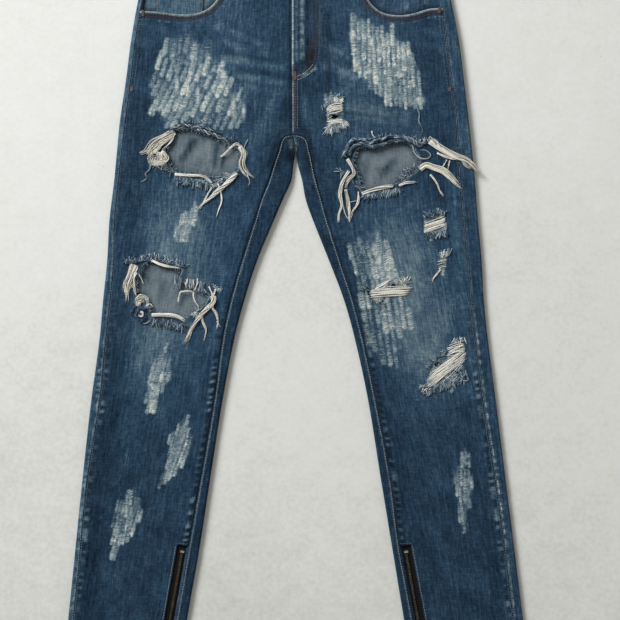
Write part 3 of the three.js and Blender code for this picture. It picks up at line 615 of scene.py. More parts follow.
def readRows(rows, column, y):
    index = edgeColumns.index(column)
    table = np.array(rows[::-1], float)
    levels, values = table[:, 0], table[:, index]
    before = np.concatenate([[0], np.arange(len(levels) - 1)])
    after = np.concatenate([np.arange(1, len(levels)), [len(levels) - 1]])
    slopes = (values[after] - values[before]) / (levels[after] - levels[before])
    y = np.asarray(y, float)
    k = np.clip(np.searchsorted(levels, y, side="right") - 1, 0, len(levels) - 2)
    span = levels[k + 1] - levels[k]
    t = np.clip((y - levels[k]) / span, 0, 1)
    curve = (2 * t ** 3 - 3 * t ** 2 + 1) * values[k] + (3 * t ** 2 - 2 * t ** 3) * values[k + 1]
    return curve + span * ((t ** 3 - 2 * t ** 2 + t) * slopes[k] + (t ** 3 - t ** 2) * slopes[k + 1])


def outerEdge(leg, y):
    return readRows(outerRows, leg + "Edge", y)


def outseam(leg, y):
    return readRows(outerRows, leg + "Seam", y)


def innerEdge(leg, y):
    return readRows(innerRows, leg + "Edge", y)


def inseam(leg, y):
    return readRows(innerRows, leg + "Seam", y)


def frontInseam(leg, y):  # the inseam up to the crotch of the front
    return inseam(leg, np.minimum(y, cut["frontCrotchY"]))


def baseHeight(y):
    return cut["hipLift"] * smooth((np.asarray(y, float) - 190) / 30)


def innerRadius(y):
    low, high = cut["crotchRadius"], cut["foldRadius"]
    return low + (high - low) * smooth((cut["crotchFoldY"] - np.asarray(y, float)) / 70)


def frontWaistY(x):
    return cut["waistY"] - cut["frontDip"] * (1 - (np.abs(x) / cut["bandHalf"]) ** 2)


def backWaistY(x):
    return cut["waistY"] + cut["backRise"] * (1 - (np.abs(x) / cut["bandHalf"]) ** 2)


def yokeSeamY(x):
    rise = cut["yokeSideY"] - cut["yokeCentreY"]
    return cut["yokeCentreY"] + rise * np.minimum(1, np.abs(x) / cut["yokeReach"])


def seamLevel(level):  # height at which a row of the back meets the inseam
    rise = cut["frontCrotchY"] - cut["crotchFoldY"]
    return level + rise * smooth((level - cut["crotchFoldY"] + 80) / 80)


def ridges(rows, x, y):
    height = np.zeros(np.shape(x))
    for fromX, fromY, toX, toY, halfWidth, top in rows:
        runX, runY = toX - fromX, toY - fromY
        reach = math.hypot(runX, runY)
        t = ((x - fromX) * runX + (y - fromY) * runY) / reach ** 2
        off = ((x - fromX) * runY - (y - fromY) * runX) / reach
        t = np.clip(t, 0, 1)
        height += top * smooth(3 * np.minimum(t, 1 - t)) * bell(off, halfWidth)
    return height


def frontTop(leg, x, y):
    out = sideOf[leg] * x
    base = baseHeight(y)
    hip = smooth((y - cut["crotchFoldY"]) / 100)
    middle = base + cut["legMid"] + (cut["hipMid"] - cut["hipLift"] - cut["legMid"]) * hip
    outerLoft = base + 2 * cut["foldRadius"] - middle
    innerLoft = base + 2 * innerRadius(y) - middle
    nearInner = 1 - smooth((y - cut["crotchFoldY"]) / 23)
    fly = cut["flyLift"] * smooth((y - 300) / 30) * smooth((44 - x) / 22) if leg == "left" else 0
    outerAway = outseam(leg, y) - out
    innerAway = out - frontInseam(leg, y)
    return (
        middle + fly + ridges(foldRows, x, y)
        + outerLoft * bell(outerAway, cut["loftReach"])
        + innerLoft * nearInner * bell(innerAway, cut["loftReach"])
    )


def mouthLine(leg):
    line = roundedLine(mouthRows[leg], perSpan=8)
    below = line[:, 1] < frontWaistY(line[:, 0]) - cut["seamGap"]
    return line[below] * (sideOf[leg], 1)


def gathers(y, away, seed, pitch=11.6):  # uneven puckers along a seam, 0 between them and 1 on them
    drift = 3.0 * cloudy(y / 55, 0 * y + seed, seed) + 0.8 * cloudy(y / 14, 0 * y + 3.1, seed + 5)
    strength = 0.4 + 0.6 * smooth(1.7 * cloudy(y / 24, 0 * y + 7.3, seed + 2) - 0.35)
    below = 0.2 + 0.8 * smooth((70 - y) / 150)
    wave = 0.5 + 0.5 * np.sin(2 * math.pi * (y / pitch + drift + 0.012 * away))
    return below * strength * smooth(1.3 * wave - 0.15)


def frontSurface(leg, x, y):
    side = sideOf[leg]
    out = side * x
    outerAway = outseam(leg, y) - out
    innerAway = out - frontInseam(leg, y)
    below = 1 - smooth((y - 240) / 12)
    outerRoll = 0.2 + 0.8 * gathers(y, outerAway, 3 + side, 15)
    z = frontTop(leg, x, y) + ridges([row for row in creaseRows if row[0] * side > 0], x, y)
    z = z - 0.15 * bell(outerAway, 1.0) + outerRoll * bell(outerAway - 6, 4.5)
    rolled = (0.2 + 1.05 * gathers(y, innerAway, 8 + side)) * bell(innerAway - 6, 4.2)
    z = z + below * (rolled - 0.9 * bell(innerAway, 1.5))
    high = y > 395
    if high.any():
        mouthAway = distanceTo(mouthLine(leg), x[high], y[high])
        groove = 0.55 * bell(mouthAway - 4, 3.4) - 0.5 * bell(mouthAway, 1.0)
        z[high] += groove - 0.4 * bell(mouthAway - 8.5, 1.6)
    return z


print("cut ready")


# Rips, where the cloth is worn, and where shade and highlights are painted on

ripTable = {  # rims of the rips, drawn on as smooth ragged loops
    "thigh_right": {"leg": "right", "ragged": 1.1, "rim": [
        (-163, 257), (-142, 260), (-127, 255), (-107, 249), (-96, 241), (-76, 230), (-76, 211),
        (-82, 200), (-111, 196), (-136, 199), (-161, 202), (-172, 216), (-175, 232)]},
    "knee_right": {"leg": "right", "ragged": 1.1, "rim": [
        (-197, 81), (-174, 77), (-153, 69), (-157, 56), (-138, 49), (-128, 39), (-117, 36),
        (-123, 22), (-145, 7), (-168, 6), (-192, 10), (-201, 27), (-215, 37), (-214, 60)]},
    "thigh_left": {"leg": "left", "ragged": 1.1, "rim": [
        (79, 222), (84, 232), (103, 237), (137, 243), (154, 239), (164, 227), (169, 211),
        (155, 196), (133, 185), (110, 179), (90, 174), (86, 195), (80, 209)]},
    "crotch_left": {"leg": "left", "ragged": 0.4, "rim": [(46, 276), (52, 279), (58, 276), (52, 273)]},
    "knee_low": {"leg": "left", "ragged": 0.4, "rim": [(96, 41), (99, 46), (102, 41), (99, 35)]},
    "knee_mid": {"leg": "left", "ragged": 0.4, "rim": [(112, 25), (116, 29), (120, 26), (116, 22)]},
    "knee_out": {"leg": "left", "ragged": 0.4, "rim": [(129, 47), (132, 51), (136, 48), (132, 44)]},
    "shin_in": {"leg": "left", "ragged": 0.4, "rim": [(187, -58), (193, -55), (198, -59), (192, -62)]},
    "shin_out": {"leg": "left", "ragged": 0.4, "rim": [(210, -69), (215, -66), (221, -69), (215, -72)]},
}


def rimLoop(rip, step=1.7):
    closed = closeLoop(roundedLine(rip["rim"], closed=True))
    count = max(10, int(lengthOf(closed) / step))
    loop = alongLine(closed, count + 1)[:-1]
    tangent = np.roll(loop, -1, axis=0) - np.roll(loop, 1, axis=0)
    tangent /= np.linalg.norm(tangent, axis=1, keepdims=True)
    x, y = loop.T
    jag = cloudy(x / 2.3, y / 2.3, 5) + 0.6 * cloudy(x / 6, y / 6, 9) - 0.8
    return loop + rip["ragged"] * jag[:, None] * columns(-tangent[:, 1], tangent[:, 0])


# Scraped patches: lean of the dashes in degrees at the top and the bottom, spacing of their columns, dash and
# gap lengths, half width, wear between the dashes and at their middles, a dense spot (x, y, reach), outline
patchColumns = ("leg", "lean", "pitch", "dash", "gap", "half", "ground", "peak", "seed", "dense", "outline")
patchRows = [
    ("right", (8, 26), 9.6, (12, 24), (3, 6), 3.8, 0.18, 0.8, 11, None, [
        (-192, 357), (-194, 331), (-200, 294), (-190, 284), (-182, 270), (-168, 272), (-141, 268),
        (-111, 268), (-82, 265), (-68, 270), (-65, 299), (-78, 311), (-86, 327), (-96, 341), (-103, 358),
        (-119, 373), (-132, 380), (-145, 387), (-160, 387), (-171, 383), (-179, 372),
    ]),
    ("left", (-2, -3), 6.6, (10, 28), (2, 6), 2.9, 0.3, 0.95, 23, None, [
        (75, 421), (84, 414), (93, 410), (98, 403), (106, 403), (118, 391), (128, 389), (142, 383),
        (151, 375), (158, 362), (165, 351), (168, 335), (168, 320), (174, 305), (175, 294), (166, 291),
        (147, 294), (132, 296), (118, 307), (103, 309), (95, 318), (90, 328), (81, 341), (76, 354),
        (74, 391),
    ]),
    ("left", (-15, -8), 8.6, (14, 30), (3, 6), 3.6, 0.12, 0.7, 37, (119, 76, 22), [
        (71, 110), (78, 104), (102, 116), (111, 110), (122, 96), (130, 88), (140, 77), (142, 62), (149, 56),
        (156, 44), (149, 34), (153, 23), (157, 6), (155, -13), (148, -27), (141, -39), (138, -55),
        (130, -58), (117, -52), (106, -47), (99, -45), (95, -21), (91, -2), (87, 7), (88, 39), (82, 63),
        (78, 83), (71, 94),
    ]),
    ("right", (14, 10), 4.6, (8, 22), (2, 5), 2.7, 0.42, 0.9, 41, None, [
        (-150, 152), (-137, 160), (-130, 151), (-129, 139), (-136, 133), (-136, 124), (-143, 115),
        (-152, 113), (-163, 113), (-164, 124), (-160, 136), (-155, 145),
    ]),
    ("right", (20, 12), 4.8, (8, 24), (2, 5), 2.7, 0.34, 0.86, 53, None, [
        (-175, -29), (-168, -59), (-169, -76), (-176, -93), (-186, -106), (-194, -122), (-204, -122),
        (-202, -99), (-199, -76), (-194, -59), (-186, -45),
    ]),
    ("right", (14, 20), 4.8, (8, 24), (2, 5), 2.6, 0.28, 0.7, 61, None, [
        (-150, -124), (-141, -133), (-141, -171), (-152, -190), (-161, -207), (-176, -221), (-187, -226),
        (-178, -201), (-173, -174), (-172, -153), (-159, -140),
    ]),
    ("right", (6, 16), 4.9, (8, 20), (2, 5), 2.6, 0.22, 0.64, 71, None, [
        (-221, -221), (-214, -224), (-214, -235), (-209, -245), (-209, -270), (-215, -278), (-220, -286),
        (-226, -295), (-236, -306), (-241, -317), (-249, -321), (-250, -315), (-248, -299), (-246, -276),
        (-245, -252), (-240, -245), (-231, -238), (-224, -235),
    ]),
    ("left", (2, -4), 4.8, (8, 22), (2, 5), 2.5, 0.24, 0.6, 83, None, [
        (230, -169), (234, -178), (236, -202), (241, -209), (241, -220), (240, -234), (236, -247),
        (236, -256), (231, -261), (232, -278), (227, -282), (222, -278), (220, -251), (217, -236),
        (214, -224), (213, -210), (218, -197), (224, -189), (227, -173),
    ]),
    ("left", (4, 4), 5.6, (5, 10), (1, 4), 2.4, 0.36, 0.6, 91, None, [
        (36, 300), (44, 306), (54, 308), (62, 300), (64, 288), (66, 276), (70, 262), (62, 262), (52, 258),
        (42, 250), (42, 268), (41, 290),
    ]),
    ("left", (-4, 8), 5.6, (5, 10), (1, 4), 2.4, 0.36, 0.6, 97, None, [
        (176, 146), (188, 150), (200, 148), (203, 136), (205, 120), (196, 114), (182, 113), (176, 124),
    ]),
    ("left", (-4, 8), 5.0, (5, 10), (1, 3), 2.3, 0.36, 0.6, 101, None, [
        (198, 92), (206, 94), (206, 76), (202, 66), (193, 68), (192, 82),
    ]),
    ("left", (6, 10), 6.0, (5, 11), (1, 4), 2.4, 0.32, 0.55, 107, None, [
        (214, -20), (226, -20), (229, -52), (229, -68), (217, -70), (214, -90), (196, -96), (185, -97),
        (174, -90), (176, -79), (184, -62), (191, -44), (206, -42),
    ]),
]
patchTable = [dict(zip(patchColumns, row)) for row in patchRows]
brightSpots = [  # thickest pale threads: x, y, half width, half length, wear
    (-98, 333, 5, 8, 0.85), (-84, 290, 4, 16, 0.9), (-70, 284, 3, 12, 0.8), (-160, 318, 3.5, 16, 0.85),
    (-146, 312, 3.5, 16, 0.85), (-132, 304, 3.5, 15, 0.85), (78, 385, 5, 8, 0.95), (102, 376, 5, 8, 0.95),
    (113, 366, 5, 9, 0.95), (146, 357, 5, 8, 0.9), (140, 332, 8, 7, 0.95), (82, 345, 4, 8, 0.9),
    (167, 298, 7, 7, 0.95), (107, 98, 7, 11, 0.5), (114, 84, 9, 12, 0.55), (122, 70, 10, 11, 0.55),
    (129, 58, 11, 9, 0.55),
]
markRows = {  # stripes worn, faded or browned into each front, and stripes of painted shade in grooves, slits and beside creases: from, to, half width, strength
    "left": [
        ("worn", 1.5, 466, 1.5, 352, 3.0, 0.2), ("worn", 9.0, 450, 9.0, 356, 4.0, 0.27),
        ("worn", 33.5, 466, 33, 362, 1.8, 0.16), ("paintedShade", 16.5, 466, 15, 346, 3.0, 0.6),
        ("paintedShade", 5, 466, 5, 350, 1.2, 0.4), ("paintedShade", 44.5, 414, 45, 306, 3.6, 0.42),
        ("rust", 26, 466, 26, 366, 4.4, 0.42), ("rust", 24, 372, 17, 341, 5, 0.85),
        ("paintedShade", 25, 364, 19, 346, 4, 0.6), ("rust", -1, 340, -1, 325, 4, 0.7),
        ("rust", 0.5, 328, 0, 258, 3.5, 0.5), ("paintedShade", 22, 352, 6, 346, 4, 0.45),
        ("paintedShade", 5, 325, 5, 262, 1.5, 0.5), ("paintedShade", 10, 345, 2, 338, 3, 0.5),
        ("worn", 8, 331, 28, 341, 2.2, 0.3), ("paintedShade", 132, 328, 156, 327, 1.4, 0.75),
        ("paintedShade", 188, 138, 194, 137, 2.0, 0.75), ("paintedShade", 44, 292, 52, 296, 1.6, 0.7),
        ("paintedShade", 200, -51, 206, -47, 1.4, 0.6), ("paintedShade", 50, 262, 62, 256, 1.6, 0.6),
        ("fade", 40, 372, 76, 356, 4, 0.5), ("fade", 40, 345, 80, 331, 5, 0.6),
        ("fade", 62, 290, 150, 277, 6, 0.5), ("fade", 72, 276, 150, 268, 4, 0.4),
        ("fade", 180, 300, 206, 320, 5, 0.3), ("fade", 44, 318, 70, 306, 4, 0.3),
        ("paintedShade", 42, 357, 80, 343, 3, 0.25), ("paintedShade", 60, 283, 140, 273, 2.5, 0.25),
        ("fade", 176, 392, 200, 384, 5, 0.3), ("fade", 176, 374, 204, 362, 4, 0.3),
        ("paintedShade", 14, 262, 26, 218, 4, 0.5), ("fade", 10, 300, 16, 262, 5, 0.4),
        ("paintedShade", 46, 276, 58, 278, 3, 0.85), ("fade", 212, 190, 224, 60, 9, 0.5),
        ("fade", 224, 40, 240, -70, 7, 0.35), ("fade", 232, -80, 262, -260, 6, 0.3),
    ],
    "right": [
        ("paintedShade", -7.4, 466, -7.2, 256, 1.5, 0.75), ("fade", -106, 398, -46, 374, 5, 0.5),
        ("fade", -100, 378, -36, 360, 4, 0.3), ("fade", -96, 354, -16, 342, 5, 0.55),
        ("fade", -76, 331, -16, 322, 4, 0.55), ("fade", -74, 316, -20, 309, 4, 0.35),
        ("paintedShade", -96, 364, -26, 350, 3, 0.25), ("paintedShade", -76, 340, -16, 331, 2.5, 0.25),
        ("fade", -218, 400, -176, 394, 5, 0.4), ("fade", -222, 384, -196, 374, 5, 0.3),
        ("paintedShade", -196, -83, -180, -83, 1.4, 0.5), ("fade", -24, 300, -60, 236, 8, 0.5),
        ("paintedShade", -12, 300, -14, 258, 4, 0.4), ("paintedShade", -19, 258, -36, 212, 4, 0.5),
    ],
}
fadeRows = [  # height, then how far the middle of the right and the left leg has faded
    (480, 0.3, 0.22), (380, 0.3, 0.28), (330, 0.32, 0.32), (280, 0.34, 0.34), (220, 0.32, 0.26),
    (170, 0.46, 0.32), (130, 0.7, 0.5), (90, 0.88, 0.82), (40, 0.9, 1.02), (-20, 0.84, 1.06),
    (-50, 0.64, 0.96), (-80, 0.42, 0.6), (-110, 0.22, 0.28), (-150, 0.08, 0.1), (-250, 0.02, 0.04),
    (-518, 0.0, 0.0),
]


def patchDashes(patch):
    rng = np.random.default_rng(patch["seed"])
    outline = np.array(patch["outline"], float)
    (lowX, lowY), (highX, highY) = outline.min(axis=0), outline.max(axis=0)
    slopes = np.tan(np.radians(patch["lean"]))
    middleY = (lowY + highY) / 2
    reach = highX - lowX + abs(slopes).max() * (highY - lowY)
    dashes = []
    for start in np.arange(lowX - reach / 2, highX + reach / 2, patch["pitch"]):
        y = lowY + rng.uniform(-6, 3)
        while y < highY:
            length = rng.uniform(*patch["dash"])
            share = np.clip((y + length / 2 - lowY) / (highY - lowY), 0, 1)
            slope = slopes[1] + (slopes[0] - slopes[1]) * smooth(1.4 * share - 0.4)
            x = start + slope * (y - middleY) + rng.normal(0, 0.7)
            strength = rng.uniform(0.4, 1.15) * (0.72 + 0.36 * bell(share - 0.42, 0.4))
            width = patch["half"] * rng.uniform(0.7, 1.25)
            middle = np.array([[x + slope * length / 2, y + length / 2]])
            if patch["dense"] and math.dist(middle[0], patch["dense"][:2]) < patch["dense"][2]:
                strength, width = 1.15, 1.3 * patch["half"]
            if insideLoops(middle, [outline])[0]:
                dashes.append((x, y, x + slope * length, y + length, width, strength))
            y += length + rng.uniform(*patch["gap"])
    return dashes


def insideLoops(points, loops):  # even-odd test
    inside = np.zeros(len(points), bool)
    px, py = points.T
    for loop in loops:
        for (x0, y0), (x1, y1) in zip(loop, np.roll(loop, -1, axis=0)):
            if y0 != y1:
                inside ^= ((y0 > py) != (y1 > py)) & (px < (x1 - x0) * (py - y0) / (y1 - y0) + x0)
    return inside


def oval(x, y, centreX, centreY, halfX, halfY):  # 1 in the middle, fading past the half sizes
    return bell(np.hypot((x - centreX) / halfX, (y - centreY) / halfY), 1.0)


def capsule(x, y, dash, softness):  # 1 on a dash's middle line, fading to 0 past its half width
    x0, y0, x1, y1, width = dash[:5]
    runX, runY = x1 - x0, y1 - y0
    t = np.clip(((x - x0) * runX + (y - y0) * runY) / (runX ** 2 + runY ** 2), 0, 1)
    off = np.hypot(x - x0 - t * runX, y - y0 - t * runY)
    return smooth((1 + softness / 2 - off / width) / softness)


def scraped(leg, x, y):  # wear of the patches on one front, and their relief
    worn, relief = np.zeros_like(x), np.zeros_like(x)
    for patch in patchTable:
        if patch["leg"] != leg:
            continue
        outline = np.array(patch["outline"], float)
        low, high = outline.min(axis=0) - 12, outline.max(axis=0) + 12
        near = (x > low[0]) & (x < high[0]) & (y > low[1]) & (y < high[1])
        px, py = x[near], y[near]
        points = columns(px, py)
        closed = alongLine(closeLoop(outline), 160)
        depth = distanceTo(closed, px, py) * np.where(insideLoops(points, [outline]), 1, -1)
        edge = depth + 5 * (cloudy(px / 5, py / 9, patch["seed"]) - 0.6)
        mottle = 0.55 + 0.9 * cloudy(px / 4, py / 12, patch["seed"] + 3)
        local = patch["ground"] * mottle * smooth((edge + 1) / 5)
        raised = np.zeros_like(px)
        for dash in patchDashes(patch):
            frayed = (dash[0] + 1.6 * (cloudy(px / 2, py / 2, 7) - 0.5), *dash[1:])
            shape = capsule(px, py, frayed, 1.3)
            share = np.clip((py - dash[1]) / (dash[3] - dash[1]), 0, 1)
            bright = patch["peak"] * dash[5] * (1.25 - 0.5 * share)
            local = np.maximum(local, shape * bright * (0.4 + 0.8 * cloudy(px / 2.8, py / 2.4, 29)))
            raised = np.maximum(raised, shape)
        worn[near] = np.maximum(worn[near], local)
        relief[near] = np.maximum(relief[near], raised)
    for spotX, spotY, halfX, halfY, level in brightSpots:
        if spotX * sideOf[leg] > 0:
            worn = np.maximum(worn, level * oval(x, y, spotX, spotY, halfX, halfY))
    return worn, relief


edgeWearAndPaintedLight = {  # stripes of wear, painted shade and painted highlight beside the seams and edges: strength, distance from the edge, half width
    "outerPuckers": (0.3, 6, 4.6), "outerEdge": (0.24, 1.2, 1.4), "outerRow": (0.2, 10, 1.2),
    "outerHollowShade": (0.3, 5, 3.4), "innerPuckers": (0.29, 6.5, 5.0), "innerGrooveShade": (0.8, 0.6, 1.8),
    "innerHollowShade": (0.76, 4.5, 3.2), "mouthEdge": (0.62, 0.9, 1.3), "mouthRow": (0.34, 11.5, 1.5),
    "mouthRust": (0.75, 5.6, 3.4), "mouthShade": (0.75, 0, 5), "flyEdgeHighlight": (0.75, -4.0, 1.2),
    "rimShade": (0.3, 5, 3.5), "backEdge": (1, 1.4, 1.7), "backPuckers": (0.3, 4, 3),
    "backInseam": (0.2, 2.2, 1.6), "backFoldWearAndHighlight": (0.24, 2, 3), "patchFold": (0.3, 1.2, 1.4),
    "patchShade": (0.4, 0, 0.6),
}


def stripe(name, away):
    strength, offset, halfWidth = edgeWearAndPaintedLight[name]
    return strength * bell(away - offset, halfWidth)


def upTo(wearAndPaintedLight, key, values):
    wearAndPaintedLight[key] = np.maximum(wearAndPaintedLight[key], values)


# fade, wear, browning, painted shade and painted highlights of one front
def frontWearAndPaintedLight(leg, x, y):
    side = sideOf[leg]
    out = side * x
    table = np.array(fadeRows[::-1], float)
    column = 1 if leg == "right" else 2
    seam, outer = frontInseam(leg, y), outseam(leg, y)
    inner = np.where(y < cut["frontCrotchY"], seam, 0)
    share = (outer - out) / (outer - inner)
    knee = np.interp(y, table[:, 0], table[:, column])
    patchy = 0.7 + 0.6 * cloudy(x / 26, y / 48, 31)
    wearAndPaintedLight = {"fade": knee * bell(share - 0.47, 0.34) * patchy + 0.07 * smooth((y - 140) / 160)}
    wearAndPaintedLight["fade"] -= 0.2 * bell(share - 0.13, 0.08) + 0.1 * bell(share - 1.0, 0.06)
    # paler along the raised creases: wear on their crests, and painted light for their relief
    wearAndPaintedLight["fade"] += 0.2 * ridges([row for row in creaseRows if row[0] * side > 0 and row[5] > 0], x, y)
    wearAndPaintedLight["worn"], relief = scraped(leg, x, y)
    wearAndPaintedLight["paintedShade"], wearAndPaintedLight["rust"] = np.zeros_like(x), np.zeros_like(x)
    for kind, fromX, fromY, toX, toY, width, strength in markRows[leg]:
        mark = strength * capsule(x, y, (fromX, fromY, toX, toY, width), 1.7)
        patchyMark = mark * (0.55 + 0.9 * cloudy(x / 5, y / 5, 19))
        if kind == "fade":
            wearAndPaintedLight[kind] = wearAndPaintedLight[kind] + 0.62 * patchyMark
        else:
            upTo(wearAndPaintedLight, kind, patchyMark)
    outerAway, innerAway = outer - out, out - seam
    below = 1 - smooth((y - 240) / 12)
    outerGathers = gathers(y, outerAway, 3 + side, 15)
    innerGathers = gathers(y, innerAway, 8 + side)
    broken = cloudy(x / 3, y / 16, 43)
    low = smooth((70 - y) / 110)
    upTo(wearAndPaintedLight, "worn", (0.1 + outerGathers) * stripe("outerPuckers", outerAway))
    upTo(wearAndPaintedLight, "worn", (0.3 + 0.7 * broken) * stripe("outerEdge", outerAway))
    upTo(wearAndPaintedLight, "worn", broken * stripe("outerRow", outerAway))
    upTo(wearAndPaintedLight, "worn", below * innerGathers * stripe("innerPuckers", innerAway))
    # painted shade in the groove of the inseam and in the hollows between the puckers of both seams
    upTo(wearAndPaintedLight, "paintedShade", below * stripe("innerGrooveShade", innerAway))
    hollows = np.clip(1 - 1.6 * innerGathers, 0, 1)
    upTo(wearAndPaintedLight, "paintedShade", below * hollows * low * stripe("innerHollowShade", innerAway))
    upTo(wearAndPaintedLight, "paintedShade", (1 - outerGathers) * low * stripe("outerHollowShade", outerAway))
    mouthAway = distanceTo(mouthLine(leg), x, y)
    sideHalf = smooth((out - 130) / 40)
    upTo(wearAndPaintedLight, "worn", stripe("mouthEdge", mouthAway))
    # a pale broken line on the ridge below the mouth: wear, and a painted highlight on the ridge
    upTo(wearAndPaintedLight, "worn", sideHalf * broken * stripe("mouthRow", mouthAway))
    upTo(wearAndPaintedLight, "rust", (0.55 + 0.6 * broken) * stripe("mouthRust", mouthAway))
    # painted highlight along the folded edge of the fly
    if leg == "left":
        upTo(wearAndPaintedLight, "worn", stripe("flyEdgeHighlight", x) * smooth((y - 250) / 10))
    return wearAndPaintedLight, relief


flyStitch = {  # rows sewn through the fly, and the seam below it
    "path": [(28, 465), (28, 400), (27.5, 368), (24, 348), (15, 337), (4, 331), (-1, 329)],
    "rowGap": 5.0,
    "paleBelow": 347,
    "seamRows": (-0.6, 2.8),
    "seamFrom": 328,
    "seamTo": 256,
}
panel = {
    "latticeStep": 1.7, "innerStep": 8.0, "edgeStep": 1.7, "smallRimStep": 1.0, "dashLift": 0.35,
    "rimCurl": 1.1, "curlReach": 3.2, "rimWorn": 0.42, "wornReach": 2.0,
}


def frontOutline(leg):
    side, gap = sideOf[leg], cut["seamGap"]
    hem, top, crotch = cut["hemY"], cut["zipTopY"], cut["frontCrotchY"]
    mouth = mouthLine(leg) * (side, 1)
    up = np.arange(hem, mouth[0, 1], 2.0)
    outer = columns(outseam(leg, up) - gap, up)
    waistEnd = -12.0 if leg == "right" else -4.7
    centre = 4.15 if leg == "right" else -3.85
    across = np.linspace(mouth[-1, 0], waistEnd, 60)[1:]
    waist = columns(across, frontWaistY(across) - gap)
    fly = np.array([(waistEnd, cut["flyStartY"]), (centre, cut["flyEndY"]), (centre, crotch)])
    down = np.arange(crotch - 0.5, top, -2.0)
    inner = columns(inseam(leg, down) + gap, down)
    slot = np.arange(top, hem, -2.0)
    zipEdge = columns(inseam(leg, slot) + cut["zipWidth"], slot)
    foot = np.array([(inseam(leg, hem) + cut["zipWidth"], hem)])
    corner = np.array([(inseam(leg, top) + gap, top)])
    loop = np.concatenate([outer, mouth, waist, fly, inner, corner, zipEdge, foot])
    loop = closeLoop(loop)
    return alongLine(loop, int(lengthOf(loop) / panel["edgeStep"]))[:-1] * (side, 1)


def latticeInside(loops, step):
    low, high = loops[0].min(axis=0), loops[0].max(axis=0)
    rows = np.arange(low[1], high[1], step * math.sqrt(3) / 2)
    points = []
    for j, y in enumerate(rows):
        across = np.arange(low[0] + (j % 2) * step / 2, high[0], step)
        points.append(columns(across, y))
    points = np.concatenate(points)
    points = points[insideLoops(points, loops)]
    edges = np.concatenate(loops)
    tree = kdtree.KDTree(len(edges))
    for k, (x, y) in enumerate(edges):
        tree.insert((x, y, 0), k)
    tree.balance()
    clearance = 0.55 * min(step, panel["edgeStep"] * 2)
    return points[[tree.find((x, y, 0))[2] > clearance for x, y in points]]


# Triangles over the lattice and the loops. The loops' points come first, in order.
def triangulate(loops, lattice):
    edges, start = [], 0
    for loop in loops:
        ids = start + np.arange(len(loop))
        edges += list(zip(ids.tolist(), np.roll(ids, -1).tolist()))
        start += len(loop)
    points = np.concatenate(loops + [lattice])
    made = delaunay_2d_cdt([Vector(p) for p in points.tolist()], edges, [], 0, 1e-5, True)
    places = np.array([tuple(p) for p in made[0]])
    faces = np.array([face for face in made[2] if len(face) == 3])
    old = np.array([ids[0] if ids else -1 for ids in made[3]])
    faces = faces[(old[faces] >= 0).all(axis=1)]
    faces = faces[insideLoops(places[faces].mean(axis=1), loops)]
    faces = old[faces]
    a, b, c = (points[faces[:, k]] for k in range(3))
    turn = (b[:, 0] - a[:, 0]) * (c[:, 1] - a[:, 1]) - (b[:, 1] - a[:, 1]) * (c[:, 0] - a[:, 0])
    faces[turn < 0] = faces[turn < 0][:, ::-1]
    return points, faces[np.abs(turn) > 0.02]  # slivers along straight edges left out


def turnOf(loop):  # twice the area inside, below 0 where the loop runs clockwise
    (x0, y0), (x1, y1) = loop.T, np.roll(loop, -1, axis=0).T
    return (x0 * y1 - x1 * y0).sum()


def polygonArea(loop):
    return abs(turnOf(loop)) / 2


def edgeWalls(loops, count):  # walls down the outline and the holes of a sheet
    walls, start = [], 0
    for k, loop in enumerate(loops):
        p = start + np.arange(len(loop))
        q = np.roll(p, -1)
        isCounterClockwise = turnOf(loop) > 0
        if isCounterClockwise != (k == 0):
            p, q = q, p
        walls.append(wallBetween(p, q, count))
        start += len(loop)
    return walls


def frontPanel(leg):
    outline = frontOutline(leg)
    rips = [rip for rip in ripTable.values() if rip["leg"] == leg]
    steps = [panel["edgeStep" if rip["ragged"] > 1 else "smallRimStep"] for rip in rips]
    holes = [rimLoop(rip, step) for rip, step in zip(rips, steps)]
    loops = [outline] + holes
    points, faces = triangulate(loops, latticeInside(loops, panel["latticeStep"]))
    x, y = points.T
    z = frontSurface(leg, x, y)
    floats, relief = frontWearAndPaintedLight(leg, x, y)
    z += panel["dashLift"] * relief
    for hole in holes:
        near = (np.abs(x - hole[:, 0].mean()) < 80) & (np.abs(y - hole[:, 1].mean()) < 70)
        away = distanceTo(hole, x[near], y[near])
        curl = 0.3 + 1.2 * cloudy(x[near] / 9, y[near] / 9, 13)
        z[near] += panel["rimCurl"] * curl * np.exp(-away / panel["curlReach"])
        rimWorn = panel["rimWorn"] * np.exp(-away / panel["wornReach"])
        floats["worn"][near] = np.maximum(floats["worn"][near], rimWorn)
        # painted shade in a band beside each rip's curled rim
        floats["paintedShade"][near] = np.maximum(floats["paintedShade"][near], stripe("rimShade", away))
    coarse, innerFaces = triangulate(loops, latticeInside(loops, panel["innerStep"]))
    innerZ = frontSurface(leg, coarse[:, 0], coarse[:, 1])
    edgeCount = sum(len(loop) for loop in loops)
    innerZ[:edgeCount] = z[:edgeCount]
    count = len(points)
    top = np.column_stack([points, z])
    under = np.column_stack([coarse, innerZ - cut["denim"]])
    triangles = np.concatenate([faces, innerFaces[:, ::-1] + count] + edgeWalls(loops, count))
    slots = np.concatenate([np.zeros(len(faces)), np.ones(len(triangles) - len(faces))])
    whole = np.concatenate([top, under])
    middle = sideOf[leg] * (outseam(leg, whole[:, 1]) + inseam(leg, np.minimum(whole[:, 1], 137))) / 2
    grain = columns(whole[:, 0] - middle, whole[:, 1], 40.0 * sideOf[leg])
    floats = {key: np.concatenate([values, np.zeros(len(under))]) for key, values in floats.items()}
    piece = makePiece(
        f"denim_front_{leg}", whole, triangles, [denim, reverse],
        faceSlots=slots, floats=floats, grain=grain, wallsFrom=len(faces) + len(innerFaces),
    )
    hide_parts(f"front_{leg}")
    area = polygonArea(outline) - sum(polygonArea(hole) for hole in holes)
    print(f"front {leg}:", len(triangles), "triangles,", round(area * 1e-6, 4), "square metres")
    return piece, area * mm * mm


fronts = {leg: frontPanel(leg) for leg in sideOf}


# Backs, wrapped round both edges on to the front

